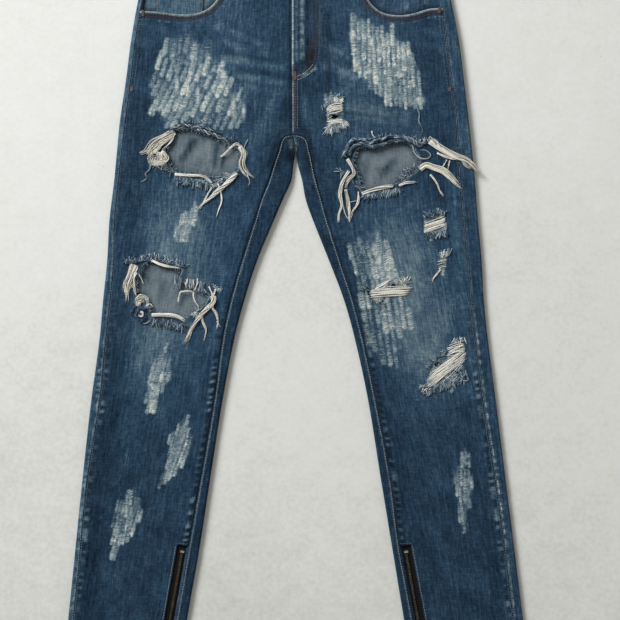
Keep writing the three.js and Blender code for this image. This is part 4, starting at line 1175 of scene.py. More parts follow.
backSteps = {
    "flange": 8, "fold": 9, "floor": 46, "legRow": 3.0, "seatRow": 4.0, "tuck": 3.5, "tuckDrop": 2.4,
}
innerFolds = [  # soft folds of the back seen through the rips, also darkened with painted shade
    (-128, 254, -162, 210, 4.5, 1.2), (-105, 254, -111, 200, 4, 1.05), (-97, 234, -99, 198, 2.4, 1.0),
    (-148, 258, -136, 236, 5, 0.5), (-122, 222, -140, 204, 5, 0.3), (-176, 66, -188, 20, 6, 0.5),
    (-150, 46, -162, 4, 7, 0.35), (-200, 72, -168, 76, 5, 0.4), (138, 226, 112, 190, 5, 0.75),
    (152, 218, 138, 188, 4, 0.5),
    (96, 230, 92, 182, 5, 0.45), (128, 210, 104, 204, 4, 0.4),
]
crotchSpots = {  # a worn oval where the legs meet, and painted shade in the hollow there and along dark folds: from, to, half width, strength
    "worn": (-4, 240, 7, 10),
    "hollowShade": (-4, 226, 9, 13),
    "folds": [(-16, 250, -30, 206, 7, 0.75), (8, 248, 19, 208, 5, 0.55)],
}
halfTurn = np.linspace(0, math.pi, backSteps["fold"])


def outerSection(leg, level, floorEnd):
    base, radius = float(baseHeight(level)), cut["foldRadius"]
    edge, seam = float(outerEdge(leg, level)) - radius, float(outseam(leg, level))
    onto = np.linspace(seam, edge, backSteps["flange"] - 1)[:-1]
    flange = np.concatenate([[seam - backSteps["tuck"]], onto])
    floor = np.linspace(edge, floorEnd, backSteps["floor"])[1:]
    out = np.concatenate([flange, edge + radius * np.sin(halfTurn), floor])
    onTop = np.full(len(flange), base + 2 * radius)
    onTop[0] -= backSteps["tuckDrop"]
    return out, np.concatenate([onTop, base + radius * (1 + np.cos(halfTurn)), np.full(len(floor), base)])


def innerSection(leg, level):
    base, radius = float(baseHeight(level)), float(innerRadius(level))
    edge, seamY = float(innerEdge(leg, level)) + radius, float(seamLevel(level))
    seam = float(frontInseam(leg, seamY))
    rising = halfTurn[::-1][1:]
    share = np.linspace(0, 1, backSteps["flange"] - 1)[1:]
    tuck = backSteps["tuck"] * smooth((180 - level) / 60)
    out = np.concatenate([edge - radius * np.sin(rising), edge + share * (seam - edge), [seam + tuck]])
    y = np.concatenate([np.full(len(rising), level), level + share * (seamY - level), [seamY]])
    z = np.concatenate([base + radius * (1 + np.cos(rising)), np.full(len(share) + 1, base + 2 * radius)])
    z[-1] -= backSteps["tuckDrop"]
    return out, y, z


# Puckers and the rolled edge beside a seam, on a grid's first or last columns
def seamDetail(grid, seed, fromStart):
    reach = backSteps["flange"]
    groove = 0.1 if fromStart else 0.4
    seam = grid[:, 1 if fromStart else -2, :2]
    for column in range(1, reach) if fromStart else range(-2, -reach - 1, -1):
        away = np.hypot(*(grid[:, column, :2] - seam).T)
        y = grid[:, column, 1]
        roll = (0.1 + 0.5 * gathers(y, away, seed)) * bell(away - 2.6, 2.0)
        grid[:, column, 2] += roll - groove * bell(away, 0.9)


def backPanel(leg):
    side = sideOf[leg]
    crotchY, yokeY = cut["crotchFoldY"], cut["yokeSideY"]
    legLevels = np.linspace(cut["hemY"], crotchY, int((crotchY - cut["hemY"]) / backSteps["legRow"]))
    seatLevels = np.linspace(crotchY, yokeY, int((yokeY - crotchY) / backSteps["seatRow"]))[1:]
    outerCount = len(outerSection(leg, 0.0, 100.0)[0])
    innerCount = len(innerSection(leg, 0.0)[0])
    grid = np.full((len(legLevels) + len(seatLevels), outerCount + innerCount, 3), np.nan)
    for row, level in enumerate(legLevels):
        floorEnd = float(innerEdge(leg, level) + innerRadius(level))
        out, z = outerSection(leg, level, floorEnd)
        grid[row, :outerCount] = columns(side * out, level, z)
        out, y, z = innerSection(leg, level)
        grid[row, outerCount:] = columns(side * out, y, z)
    for row, level in enumerate(seatLevels, start=len(legLevels)):
        out, z = outerSection(leg, level, cut["seamGap"] / 2)
        share = (level - crotchY) / (yokeY - crotchY)
        y = crotchY + share * (yokeSeamY(out) - crotchY)
        grid[row, :outerCount] = columns(side * out, y, z)
    seamDetail(grid, 5 + side, True)
    seamDetail(grid[:len(legLevels)], 8 + side, False)
    points, triangles, slots, normals = gridShell(grid, cut["denim"], side)
    count = len(points) // 2
    x, y = points[:, 0], points[:, 1]
    facesDown = np.concatenate([np.zeros(count, bool), normals[:, 2] < -0.5])
    folds = ridges(innerFolds, x, y)
    points[facesDown, 2] += 1.2 * folds[facesDown]
    out = side * x
    onTop = np.concatenate([normals[:, 2] > 0.3, np.zeros(count, bool)])
    seamAway = np.abs(out - outseam(leg, y))
    edgeAway = np.abs(outerEdge(leg, y) - out)
    inner = frontInseam(leg, y)
    inAway = np.abs(out - inner)
    puckers = gathers(y, seamAway, 5 + side)
    broken = cloudy(x / 3, y / 14, 47)
    # paler along the folded outer edge: fold wear, and a painted highlight
    fade = 0.16 + 0.16 * smooth((y - 100) / 200) + stripe("backFoldWearAndHighlight", edgeAway)
    fade += np.where(onTop, 0, 0.25 * bell(np.abs(out) - 130, 60))
    fade -= np.where(onTop & (out < inner - 0.5), 0.3, 0)
    lines = 0.5 if leg == "left" else 0.36
    edgeLine = (0.24 + lines * puckers) * (0.4 + broken) * stripe("backEdge", seamAway)
    patchy = cloudy(x / 3, y / 3, 51)
    crotch = oval(x, y, *crotchSpots["worn"])
    wearAndPaintedLight = {
        "fade": fade, "worn": np.where(onTop, edgeLine, 0), "paintedShade": np.zeros_like(x),
        "rust": 0.4 * crotch * (1 - 0.6 * patchy),
    }
    upTo(wearAndPaintedLight, "worn", np.where(onTop, puckers * stripe("backPuckers", seamAway), 0))
    upTo(wearAndPaintedLight, "worn", np.where(onTop, stripe("backInseam", inAway), 0))
    upTo(wearAndPaintedLight, "worn", 0.4 * crotch * (0.3 + patchy))
    # painted shade in the crotch hollow and along its folds, lighter where the cloth is worn
    hollowShade = np.minimum(0.97, 1.4 * oval(x, y, *crotchSpots["hollowShade"]))
    for *line, strength in crotchSpots["folds"]:
        hollowShade = np.maximum(hollowShade, strength * capsule(x, y, line, 1.8))
    upTo(wearAndPaintedLight, "paintedShade", np.where(facesDown, 0, hollowShade * (1 - 0.8 * crotch)))
    # painted shade along those folds on the inner face
    upTo(wearAndPaintedLight, "paintedShade", np.where(facesDown, 0.7 * np.clip(folds, 0, 1.2), 0))
    # painted shade on the back seen through the rips: dark under each small rip, and cast by the rim of each
    # large one, deeper and wider on the side the window is on
    for rip in ripTable.values():
        loop = rimLoop(rip)
        middle = loop.mean(axis=0)
        if rip["leg"] == leg and rip["ragged"] < 1:
            upTo(wearAndPaintedLight, "paintedShade", np.where(facesDown, 1.2 * oval(x, y, *middle, 11, 11), 0))
        elif rip["leg"] == leg:
            near = facesDown & (np.hypot(x - middle[0], y - middle[1]) < 90)
            away = distanceTo(loop, x[near], y[near])
            lit = smooth(0.5 + (0.6 * (x[near] - middle[0]) - 0.8 * (y[near] - middle[1])) / 50)
            rimShade = (0.85 - 0.5 * lit) * np.exp(-away / (7 - 3 * lit))
            wearAndPaintedLight["paintedShade"][near] = np.maximum(wearAndPaintedLight["paintedShade"][near], rimShade)
    across = np.where(np.concatenate([normals[:, 2], normals[:, 2]]) > 0, x, x + 900 * side)
    lean = side * 0.12 * y
    grain = columns(across + lean, y, -60.0 * side)
    piece = makePiece(
        f"denim_back_{leg}", points, triangles, [denim, reverse],
        faceSlots=slots, floats=wearAndPaintedLight, grain=grain,
    )
    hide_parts(f"back_{leg}")
    print(f"back {leg}:", len(triangles), "triangles")
    return piece


def backYoke(leg):
    side = sideOf[leg]
    grid = []
    for share in np.linspace(0, 1, 12):
        level = cut["yokeSideY"] + share * (cut["waistY"] - cut["yokeSideY"])
        out, z = outerSection(leg, level, cut["seamGap"] / 2)
        across = np.minimum(out, cut["bandHalf"])
        isFront = np.arange(len(out)) < backSteps["flange"] + backSteps["fold"] // 2
        low = yokeSeamY(out) + cut["seamGap"]
        high = np.where(isFront, frontWaistY(across), backWaistY(across)) - cut["seamGap"]
        grid.append(columns(side * out, low + share * (high - low), z))
    points, triangles, slots = gridShell(np.array(grid), cut["denim"], side)[:3]
    ones = np.ones(len(points))
    grain = columns(points[:, 0] + 300, points[:, 1], 90 * ones)
    floats = {"fade": 0.3 * ones, "worn": 0 * ones, "paintedShade": 0 * ones, "rust": 0 * ones}
    piece = makePiece(
        f"denim_yoke_{leg}", points, triangles, [denim, reverse],
        faceSlots=slots, floats=floats, grain=grain,
    )
    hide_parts(f"yoke_{leg}")
    return piece


backs = {leg: backPanel(leg) for leg in sideOf}
yokes = {leg: backYoke(leg) for leg in sideOf}


# Flat patches: facings, coin pocket, back pockets and belt loops

patchShape = {"step": 3.0, "edge": 0.45}
backPocketOutline = [(38, 380), (172, 392), (168, 268), (108, 236), (44, 256)]
coinOutline = [(-188, 400), (-126, 400), (-122, 458), (-187, 461)]


def flatPatch(name, outline, bottom, wall, node, fadeLevel, stitchGroove=None, ripple=0.0,
              mouth=None):
    outline = np.array(outline, float)
    closed = closeLoop(outline)
    loop = alongLine(closed, max(24, int(lengthOf(closed) / patchShape["step"])) + 1)[:-1]
    points, faces = triangulate([loop], latticeInside([loop], patchShape["step"]))
    x, y = points.T
    away = distanceTo(alongLine(closed, 400), x, y)
    rounding = patchShape["edge"] * np.exp(-away / 0.9)
    wave = ripple * (cloudy(x / 14, y / 40, 3) - 0.5)
    groove = np.zeros_like(x)
    if stitchGroove:
        groove = 0.5 * bell(away - stitchGroove, 1.2)
    top = np.column_stack([points, bottom + wall - rounding + wave])
    under = np.column_stack([points, bottom + rounding + groove])
    count = len(points)
    triangles = np.concatenate([faces, faces[:, ::-1] + count] + edgeWalls([loop], count))
    whole = np.concatenate([top, under])
    x, y = whole[:, :2].T
    away = np.concatenate([away, away])
    # the cut edges of a patch get painted shade
    floats = {
        "fade": fadeLevel + 0.3 * (cloudy(x / 18, y / 30, 17) - 0.5),
        "worn": stripe("patchFold", away), "paintedShade": stripe("patchShade", away), "rust": np.zeros(len(whole)),
    }
    if mouth is not None:
        deep = distanceTo(mouth, x, y)
        streaks = smooth(2.4 * cloudy(x / 4.6, y / 80, 61) - 1.1)
        upTo(floats, "worn", 0.3 * streaks * smooth((deep - 4) / 6))
        # painted shadow on the facing just inside the pocket mouth
        upTo(floats, "paintedShade", stripe("mouthShade", deep))
    grain = np.column_stack([whole[:, :2], np.full(len(whole), 140.0)])
    piece = makePiece(name, whole, triangles, [denim], floats=floats, grain=grain)
    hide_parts(node)
    return piece, polygonArea(outline) * mm * mm


def facingOutline(leg):
    side, low, reach = sideOf[leg], 392, 140
    inside = float(outseam(leg, cut["waistY"])) - reach
    outline = [(inside, low + 12), (inside + 30, low)]
    outline += [(float(outseam(leg, y)) - 1, y) for y in (low, 434)]
    outline += [(float(outseam(leg, cut["waistY"])) - 1, cut["waistY"] - 1)]
    outline += [(inside, float(frontWaistY(inside)) - 1)]
    return [(side * x, y) for x, y in outline]


facingZ = cut["hipLift"] + cut["denim"] + 0.4
patches = {}
for leg, fadeLevel in (("right", 0.72), ("left", 0.34)):
    patches[f"pocket_facing_{leg}"] = flatPatch(
        f"denim_pocket_facing_{leg}", facingOutline(leg), facingZ, cut["patch"],
        f"pocket_facing_{leg}", fadeLevel, ripple=0.8, mouth=mouthLine(leg),
    )
    patches[f"back_pocket_{leg}"] = flatPatch(
        f"denim_back_pocket_{leg}", [(sideOf[leg] * x, y) for x, y in backPocketOutline], 0, cut["patch"],
        f"back_pocket_{leg}", 0.4, stitchGroove=3.0,
    )
coinZ = facingZ + cut["patch"] + cut["seamGap"]
patches["coin_pocket"] = flatPatch(
    "denim_coin_pocket", coinOutline, coinZ, cut["patch"], "coin_pocket", 0.6, ripple=0.5,
)


# Waistband, belt loops and button

band = {"lapEnd": 34, "lapFlat": 56, "rows": 15, "loopHalf": 6, "loopInset": 2, "buttonX": 9}
bandFrontTop = cut["hipMid"] + 0.6
bandLift = cut["bandWall"] + cut["seamGap"]


def bandTop(x, isLeft):
    lap = 1 - smooth((x - band["lapEnd"]) / (band["lapFlat"] - band["lapEnd"]))
    return bandFrontTop + (bandLift * lap if isLeft else 0 * x)


def waistband():
    radius = (bandFrontTop - cut["hipLift"]) / 2
    edge = cut["bandHalf"] - radius
    turn = halfTurn[1:-1]
    lapStart = cut["centreFrontX"] - 0.7
    under = band["lapEnd"] - 4
    grid = []
    for high in np.linspace(0, cut["bandHeight"], band["rows"]):
        side = edge - cut["bandTaper"] * high
        press = 0.35 * (bell(high - 3, 1.6) + bell(high - cut["bandHeight"] + 3, 1.6))
        leftX = np.linspace(lapStart, side, 60)
        rightX = np.linspace(-side, under, 66)
        backX = np.linspace(side, -side, 90)
        wave = 0.25 * np.sin(leftX / 9) * np.sin(high / 12)
        sideY, aside, rise = cut["waistY"] + high, radius * np.sin(turn), radius * (1 + np.cos(turn))
        grid.append(np.concatenate([
            columns(leftX, frontWaistY(leftX) + high, bandTop(leftX, True) - press + wave),
            columns(side + aside, sideY, cut["hipLift"] + rise),
            columns(backX, backWaistY(backX) + high, cut["hipLift"] + press),
            columns(-side - aside[::-1], sideY, cut["hipLift"] + rise[::-1]),
            columns(rightX, frontWaistY(rightX) + high, bandTop(rightX, False) - press),
        ]))
    points, triangles, slots = gridShell(np.array(grid), cut["bandWall"], 1)[:3]
    ones = np.ones(len(points))
    high = points[:, 1] - np.where(points[:, 2] > 4, frontWaistY(points[:, 0]), backWaistY(points[:, 0]))
    edges = bell(high - 0.5, 1.4) + bell(high - cut["bandHeight"] + 0.5, 1.4)
    floats = {"fade": 0.2 + 0.15 * edges, "worn": 0.26 * edges, "paintedShade": 0 * ones, "rust": 0 * ones}
    grain = columns(points[:, 1], points[:, 0], 200 * ones)
    piece = makePiece(
        "denim_waistband", points, triangles, [denim, reverse],
        faceSlots=slots, floats=floats, grain=grain,
    )
    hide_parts("waistband")
    return piece


def beltLoopOutline(x, low):
    half, inset = band["loopHalf"], band["loopInset"]
    top = low + cut["bandHeight"] - inset
    return [(x - half, low + inset), (x + half, low + inset), (x + half, top), (x - half, top)]


beltLoops = {"front_right": -105, "front_left": 105, "back_right": -112, "back_centre": 0, "back_left": 112}
waist = waistband()
for where, x in beltLoops.items():
    isFront = where.startswith("front")
    low = float(frontWaistY(x) if isFront else backWaistY(x))
    loopZ = bandFrontTop + cut["seamGap"] if isFront else 0.0
    patches[f"belt_loop_{where}"] = flatPatch(
        f"denim_belt_loop_{where}", beltLoopOutline(x, low), loopZ, cut["patch"],
        f"belt_loop_{where}", 0.3,
    )


def waistButton():
    profile = [
        (0, 0), (7.4, 0), (8.1, 0.3), (8.5, 0.9), (8.5, 1.9), (8.2, 2.5), (7.6, 2.95), (7.1, 2.9),
        (6.7, 2.45), (6.2, 2.25), (5.6, 2.25), (5.2, 2.45), (4.8, 2.3), (2.6, 2.5), (1.2, 2.62), (0, 2.6),
    ]
    count = 56
    angles = np.arange(count) * 2 * math.pi / count
    x, z0 = band["buttonX"], bandFrontTop + bandLift + cut["seamGap"]
    y = float(frontWaistY(x)) + cut["bandHeight"] / 2
    rings = np.array([
        [(x + r * math.cos(a), y + r * math.sin(a), z0 + z) for a in angles] for r, z in profile
    ])
    ids = np.arange(len(profile) * count).reshape(len(profile), count)
    ids[0], ids[-1] = ids[0, 0], ids[-1, 0]  # one point at each pole
    turned = np.roll(ids, -1, axis=1)
    a, b, c, d = ids[:-1].ravel(), turned[:-1].ravel(), turned[1:].ravel(), ids[1:].ravel()
    triangles = np.concatenate([columns(a, b, c)[count:], columns(a, c, d)[:-count]])
    piece = makePiece("waist_button", rings.reshape(-1, 3), triangles, [darkMetal])
    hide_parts("button")


waistButton()
print("patches, waistband, belt loops and button ready")


# Frayed yarn: bundles, rolls and threads that hang from the rips

def tintTable(colours):
    return {name: np.array(paint(*colour)[:3]) for name, colour in colours.items()}


tintOf = tintTable({
    "cream": (232, 229, 218), "white": (238, 238, 232), "pale": (158, 175, 184), "blue": (74, 100, 122),
    "indigo": (38, 60, 84), "denim": (54, 82, 106), "thread": (198, 206, 205),
})


def lyingHeight(leg, x, y):  # height of what a loose thread lies on
    out = sideOf[leg] * x
    past = np.maximum(0, out - outerEdge(leg, y))
    surface = np.where(out > outseam(leg, y), baseHeight(y) + 2 * cut["foldRadius"], frontSurface(leg, x, y))
    return surface - 0.3 * past


strand = {"more": 1.5, "finer": 0.7, "fringeMore": 2.3}  # finer than the calls below give, and more of them


# A bundle: given line, width at its root, middle and tip, strands, radius, turns of twist and tints
def bundle(leg, rng, line, width, strands, radius, turns=0.8, tints=("cream",), lift=0.5, stray=0.6,
           isFine=True):
    steps = 18
    centre = alongLine(roundedLine(line), steps)
    share = np.linspace(0, 1, steps)
    half = np.interp(share, [0, 0.5, 1], width) / 2
    along = np.gradient(centre, axis=0)
    along /= np.linalg.norm(along, axis=1, keepdims=True)
    sideways = columns(-along[:, 1], along[:, 0])
    if isFine:
        strands, radius = math.ceil(strands * strand["more"]), radius * strand["finer"]
    isFlat = isFine and turns < 0.7 and stray > 0.3  # combed side by side, not twisted
    paths, radii, colours = [], [], []
    for k in range(strands):
        phase = 2 * math.pi * k / max(1, strands) + rng.uniform(-0.5, 0.5)
        reach = rng.uniform(0.25, 1.05)
        turn = phase + 2 * math.pi * turns * share
        wobble = rng.normal(0, 1, 4)
        drift = sum(w * np.sin((n + 1) * math.pi * share + w * 3) / (n + 1.5) for n, w in enumerate(wobble))
        if isFlat:
            place = 2 * (k + rng.uniform(0.1, 0.9)) / strands - 1 + 0.25 * np.sin(turn)
        else:
            place = reach * np.cos(turn)
        loose = drift * share * np.clip(half, 0.4, 2.0) + rng.normal(0, 1.3) * share ** 3
        end = rng.uniform(0.72 if isFlat else 0.86, 1.0)
        flat = centre + (half * place + stray * loose)[:, None] * sideways
        flat = alongLine(alongLine(flat, 40)[: int(40 * end)], steps)
        rise = radius * 1.1 + 0.45 * half * reach * (1 + np.sin(turn)) * (0.5 if isFlat else 1)
        ground = lyingHeight(leg, flat[:, 0], flat[:, 1])
        z = ground + lift * np.sin(math.pi * np.clip(share * 1.15, 0, 1)) + rise
        paths.append(np.column_stack([flat, z]))
        radii.append(radius * rng.uniform(0.8, 1.2) * (1 - 0.55 * share ** 2.5))
        # about one strand in seven is darker, painted shade between the strands
        dim = rng.uniform(0.45, 0.7) if rng.random() < 0.14 else rng.uniform(0.9, 1.05)
        mottle = 0.8 + 0.3 * cloudy(share * 7, 0 * share, 10 * k + 1)
        colours.append(tintOf[tints[k % len(tints)]] * dim * mottle[:, None])
    return tubeParts(np.array(paths), np.array(radii), np.array(colours))


# Short warp ends along a line: count, length, direction in degrees and spread
def fringe(leg, rng, line, count, length, direction, spread, radius=0.34, tints=("pale", "blue", "white"),
           lift=1.0):
    steps = 7
    count = count if count == 1 else int(count * strand["fringeMore"])
    roots = alongLine(line, count) + rng.normal(0, 0.9, (count, 2))
    angles = np.radians(direction + rng.normal(0, spread * 0.8, count))
    bends = rng.normal(0, 0.6, count) * min(1, spread / 30)
    lengths = length * rng.uniform(0.55, 1.1, count)
    share = np.linspace(0, 1, steps)
    heading = angles[:, None] + bends[:, None] * share * 1.6
    step = lengths[:, None] / (steps - 1)
    x = roots[:, :1] + np.cumsum(np.cos(heading) * step, axis=1)
    y = roots[:, 1:] + np.cumsum(np.sin(heading) * step, axis=1)
    ground = lyingHeight(leg, x.ravel(), y.ravel()).reshape(x.shape)
    arch = np.sin(math.pi * np.clip(share * 0.9, 0, 1))
    z = ground + radius + lift * rng.uniform(0.2, 1.2, (count, 1)) * arch
    radii = radius * rng.uniform(0.8, 1.3, (count, 1)) * (1 - 0.4 * share)
    picked = rng.integers(0, len(tints), count)
    colours = np.array([tintOf[tints[k]] for k in picked]) * rng.uniform(0.85, 1.1, (count, 1))
    colours = colours[:, None] * (0.55 + 0.65 * share[:, None])  # deep roots, bleached tips
    return tubeParts(np.stack([x, y, z], axis=2), radii, colours, 4)


# Bare weft across a tear: strands from one short line to another
def weftRow(leg, rng, fromLine, toLine, count, radius, tints=("cream", "white"), lift=0.9, loose=0.7):
    steps = 12
    starts, ends = alongLine(fromLine, count), alongLine(toLine, count)
    starts = starts + rng.normal(0, loose, starts.shape)
    ends = ends + rng.normal(0, loose, ends.shape)
    share = np.linspace(0, 1, steps)
    flat = starts[:, None] + (ends - starts)[:, None] * share[:, None]
    sag = rng.normal(0, 0.4 + loose, (count, 1)) * np.sin(math.pi * share)
    flat[..., 1] += sag
    ground = lyingHeight(leg, flat[..., 0].ravel(), flat[..., 1].ravel()).reshape(count, steps)
    z = ground + radius + lift * rng.uniform(0.3, 1.2, (count, 1)) * np.sin(math.pi * share) ** 0.6
    radii = radius * rng.uniform(0.75, 1.25, (count, 1)) * (0.7 + 0.3 * np.sin(math.pi * share))
    colours = np.array([tintOf[tints[k]] for k in rng.integers(0, len(tints), count)])
    colours = colours * rng.uniform(0.84, 1.05, (count, 1))
    return tubeParts(np.concatenate([flat, z[..., None]], axis=2), radii, colours)


def rimFuzz(leg, rng, rip, perMillimetre=1.0):
    loop = rimLoop(ripTable[rip])
    closed = closeLoop(loop)
    count = int(lengthOf(closed) * perMillimetre)
    spots = alongLine(closed, count)
    centre = loop.mean(axis=0)
    inward = centre - spots
    directions = np.degrees(np.arctan2(inward[:, 1], inward[:, 0])) + rng.normal(0, 45, count)
    parts = []
    tints = ("pale", "blue", "indigo")
    for chunk in range(6):
        picked = slice(chunk, None, 6)
        for spot, direction in zip(spots[picked], directions[picked]):
            parts.append(fringe(leg, rng, [spot, spot + 0.5], 1, 4.2, direction, 10, 0.28, tints, 0.7))
    return joinParts(parts)


ropeTints = ("indigo", "blue", "pale", "blue", "denim", "blue", "pale")
knotTints = ("indigo", "denim", "indigo", "blue")
ruffleTints = ("blue", "denim", "blue", "pale", "denim", "pale")


# A rolled rim: thick twisted plies with pale threads between
def rope(leg, rng, line, width, turns, tints=ropeTints):
    thick = 0.2 * max(width)
    plies = bundle(leg, rng, line, width, 7, thick, turns, tints, 0.3, 0.25, isFine=False)
    if tints == knotTints:
        return plies
    pale = bundle(leg, rng, line, [1.1 * w for w in width], 3, 0.42, turns * 1.3, ("white", "pale"), 1.2, 0.3)
    return joinParts([plies, pale])


# A curled edge: thick short tufts over finer ones
def ruffle(leg, rng, line, count, length, direction):
    tufts = fringe(leg, rng, line, count, length, direction, 26, 0.85, ruffleTints, 1.4)
    fuzz = fringe(leg, rng, line, 0.6 * count, length, direction, 24, 0.34, ("pale", "blue", "pale"), 1.6)
    return joinParts([tufts, fuzz])


tuftTints = ("pale", "white", "blue", "pale")


def makersFor(leg, seed):  # the makers of one rip's yarn, which share one run of random draws
    rng = np.random.default_rng(seed)
    makers = {
        "lock": bundle, "tuft": fringe, "weft": weftRow, "roll": rope, "frill": ruffle, "fuzz": rimFuzz,
    }
    return SimpleNamespace(**{name: partial(maker, leg, rng) for name, maker in makers.items()})


def thighRightYarn():
    make = makersFor("right", 201)
    return [
        make.lock([(-164, 256), (-176, 248), (-190, 239), (-200, 229), (-212, 226)], (10, 14, 4), 16, 0.62,
            turns=0.4, stray=1.0),
        make.lock([(-166, 254), (-180, 243), (-188, 232), (-200, 226)], (6, 8, 3), 7, 0.6, stray=1.0),
        make.lock([(-164, 255), (-166, 247), (-172, 238), (-180, 230), (-181, 225)], (2, 3, 2), 3, 0.55),
        make.lock([(-181, 229), (-173, 221), (-180, 214), (-191, 213), (-195, 220), (-186, 227)], (5, 8, 6),
            12, 0.6, turns=1.6, stray=1.0),
        make.lock([(-190, 230), (-183, 224), (-178, 217), (-186, 216), (-190, 222)], (6, 7, 6), 9, 0.6,
            turns=1.5, stray=1.0),
        make.tuft([(-194, 224), (-184, 212), (-174, 214)], 10, 9, 235, 40, 0.4, ("cream", "pale", "white")),
        make.lock([(-195, 217), (-197, 205), (-203, 199), (-200, 194), (-210, 186)], (2, 1.5, 1), 2, 0.5,
            tints=("pale",)),
        make.lock([(-101, 222), (-94, 227), (-86, 236), (-79, 240), (-73, 233), (-70, 225)], (2, 3, 6), 5,
            0.6, turns=1.2),
        make.lock([(-75, 236), (-70, 226), (-73, 214), (-71, 205), (-64, 198), (-54, 192)], (6, 8, 1.5), 9,
            0.62, turns=0.6),
        make.lock([(-64, 246), (-69, 234), (-65, 227), (-68, 217)], (2, 1.6, 1), 2, 0.5, tints=("pale",)),
        make.lock([(-65, 199), (-62, 187), (-65, 183)], (1.5, 1.2, 1), 2, 0.45, tints=("pale", "white")),
        make.lock([(-163, 199), (-141, 197), (-124, 195), (-113, 187), (-109, 181)], (3.2, 3.6, 3), 4, 0.85,
            turns=0.3, tints=("white",), stray=0.15),
        make.lock([(-79, 200), (-90, 189), (-103, 178), (-114, 168), (-127, 157), (-131, 150)], (7, 6, 2), 9,
            0.75, turns=1.4, tints=("cream", "white")),
        make.lock([(-112, 182), (-118, 172), (-123, 164), (-129, 153)], (2, 2, 1), 2, 0.6, tints=("white",)),
        make.lock([(-105, 186), (-101, 175), (-100, 162), (-104, 149), (-107, 139)], (2, 2, 1), 2, 0.65,
            tints=("white",)),
        make.lock([(-95, 196), (-100, 192), (-105, 186)], (1.5, 1.5, 1), 2, 0.5, tints=("pale",)),
        make.roll([(-174, 252), (-164, 261), (-150, 265), (-136, 262), (-124, 262), (-110, 257), (-97, 252)],
            (4.5, 5, 4), 5),
        make.roll([(-132, 260), (-120, 255), (-108, 251), (-98, 246), (-86, 240)], (4, 6, 3), 3.5),
        make.frill([(-162, 198), (-146, 195), (-130, 193), (-116, 191)], 36, 12, 268),
        make.tuft([(-120, 192), (-108, 186), (-98, 196), (-84, 200)], 40, 8, 240, 35, 0.4, tuftTints),
        make.tuft([(-166, 262), (-148, 268), (-128, 266)], 18, 4, 80, 25, 0.4, ruffleTints),
        make.tuft([(-95, 246), (-82, 242)], 12, 6, 70, 40, 0.5, ruffleTints),
        make.tuft([(-176, 214), (-166, 204)], 20, 9, 230, 30, 0.4, ("blue", "pale", "indigo")),
        make.fuzz("thigh_right"),
    ]


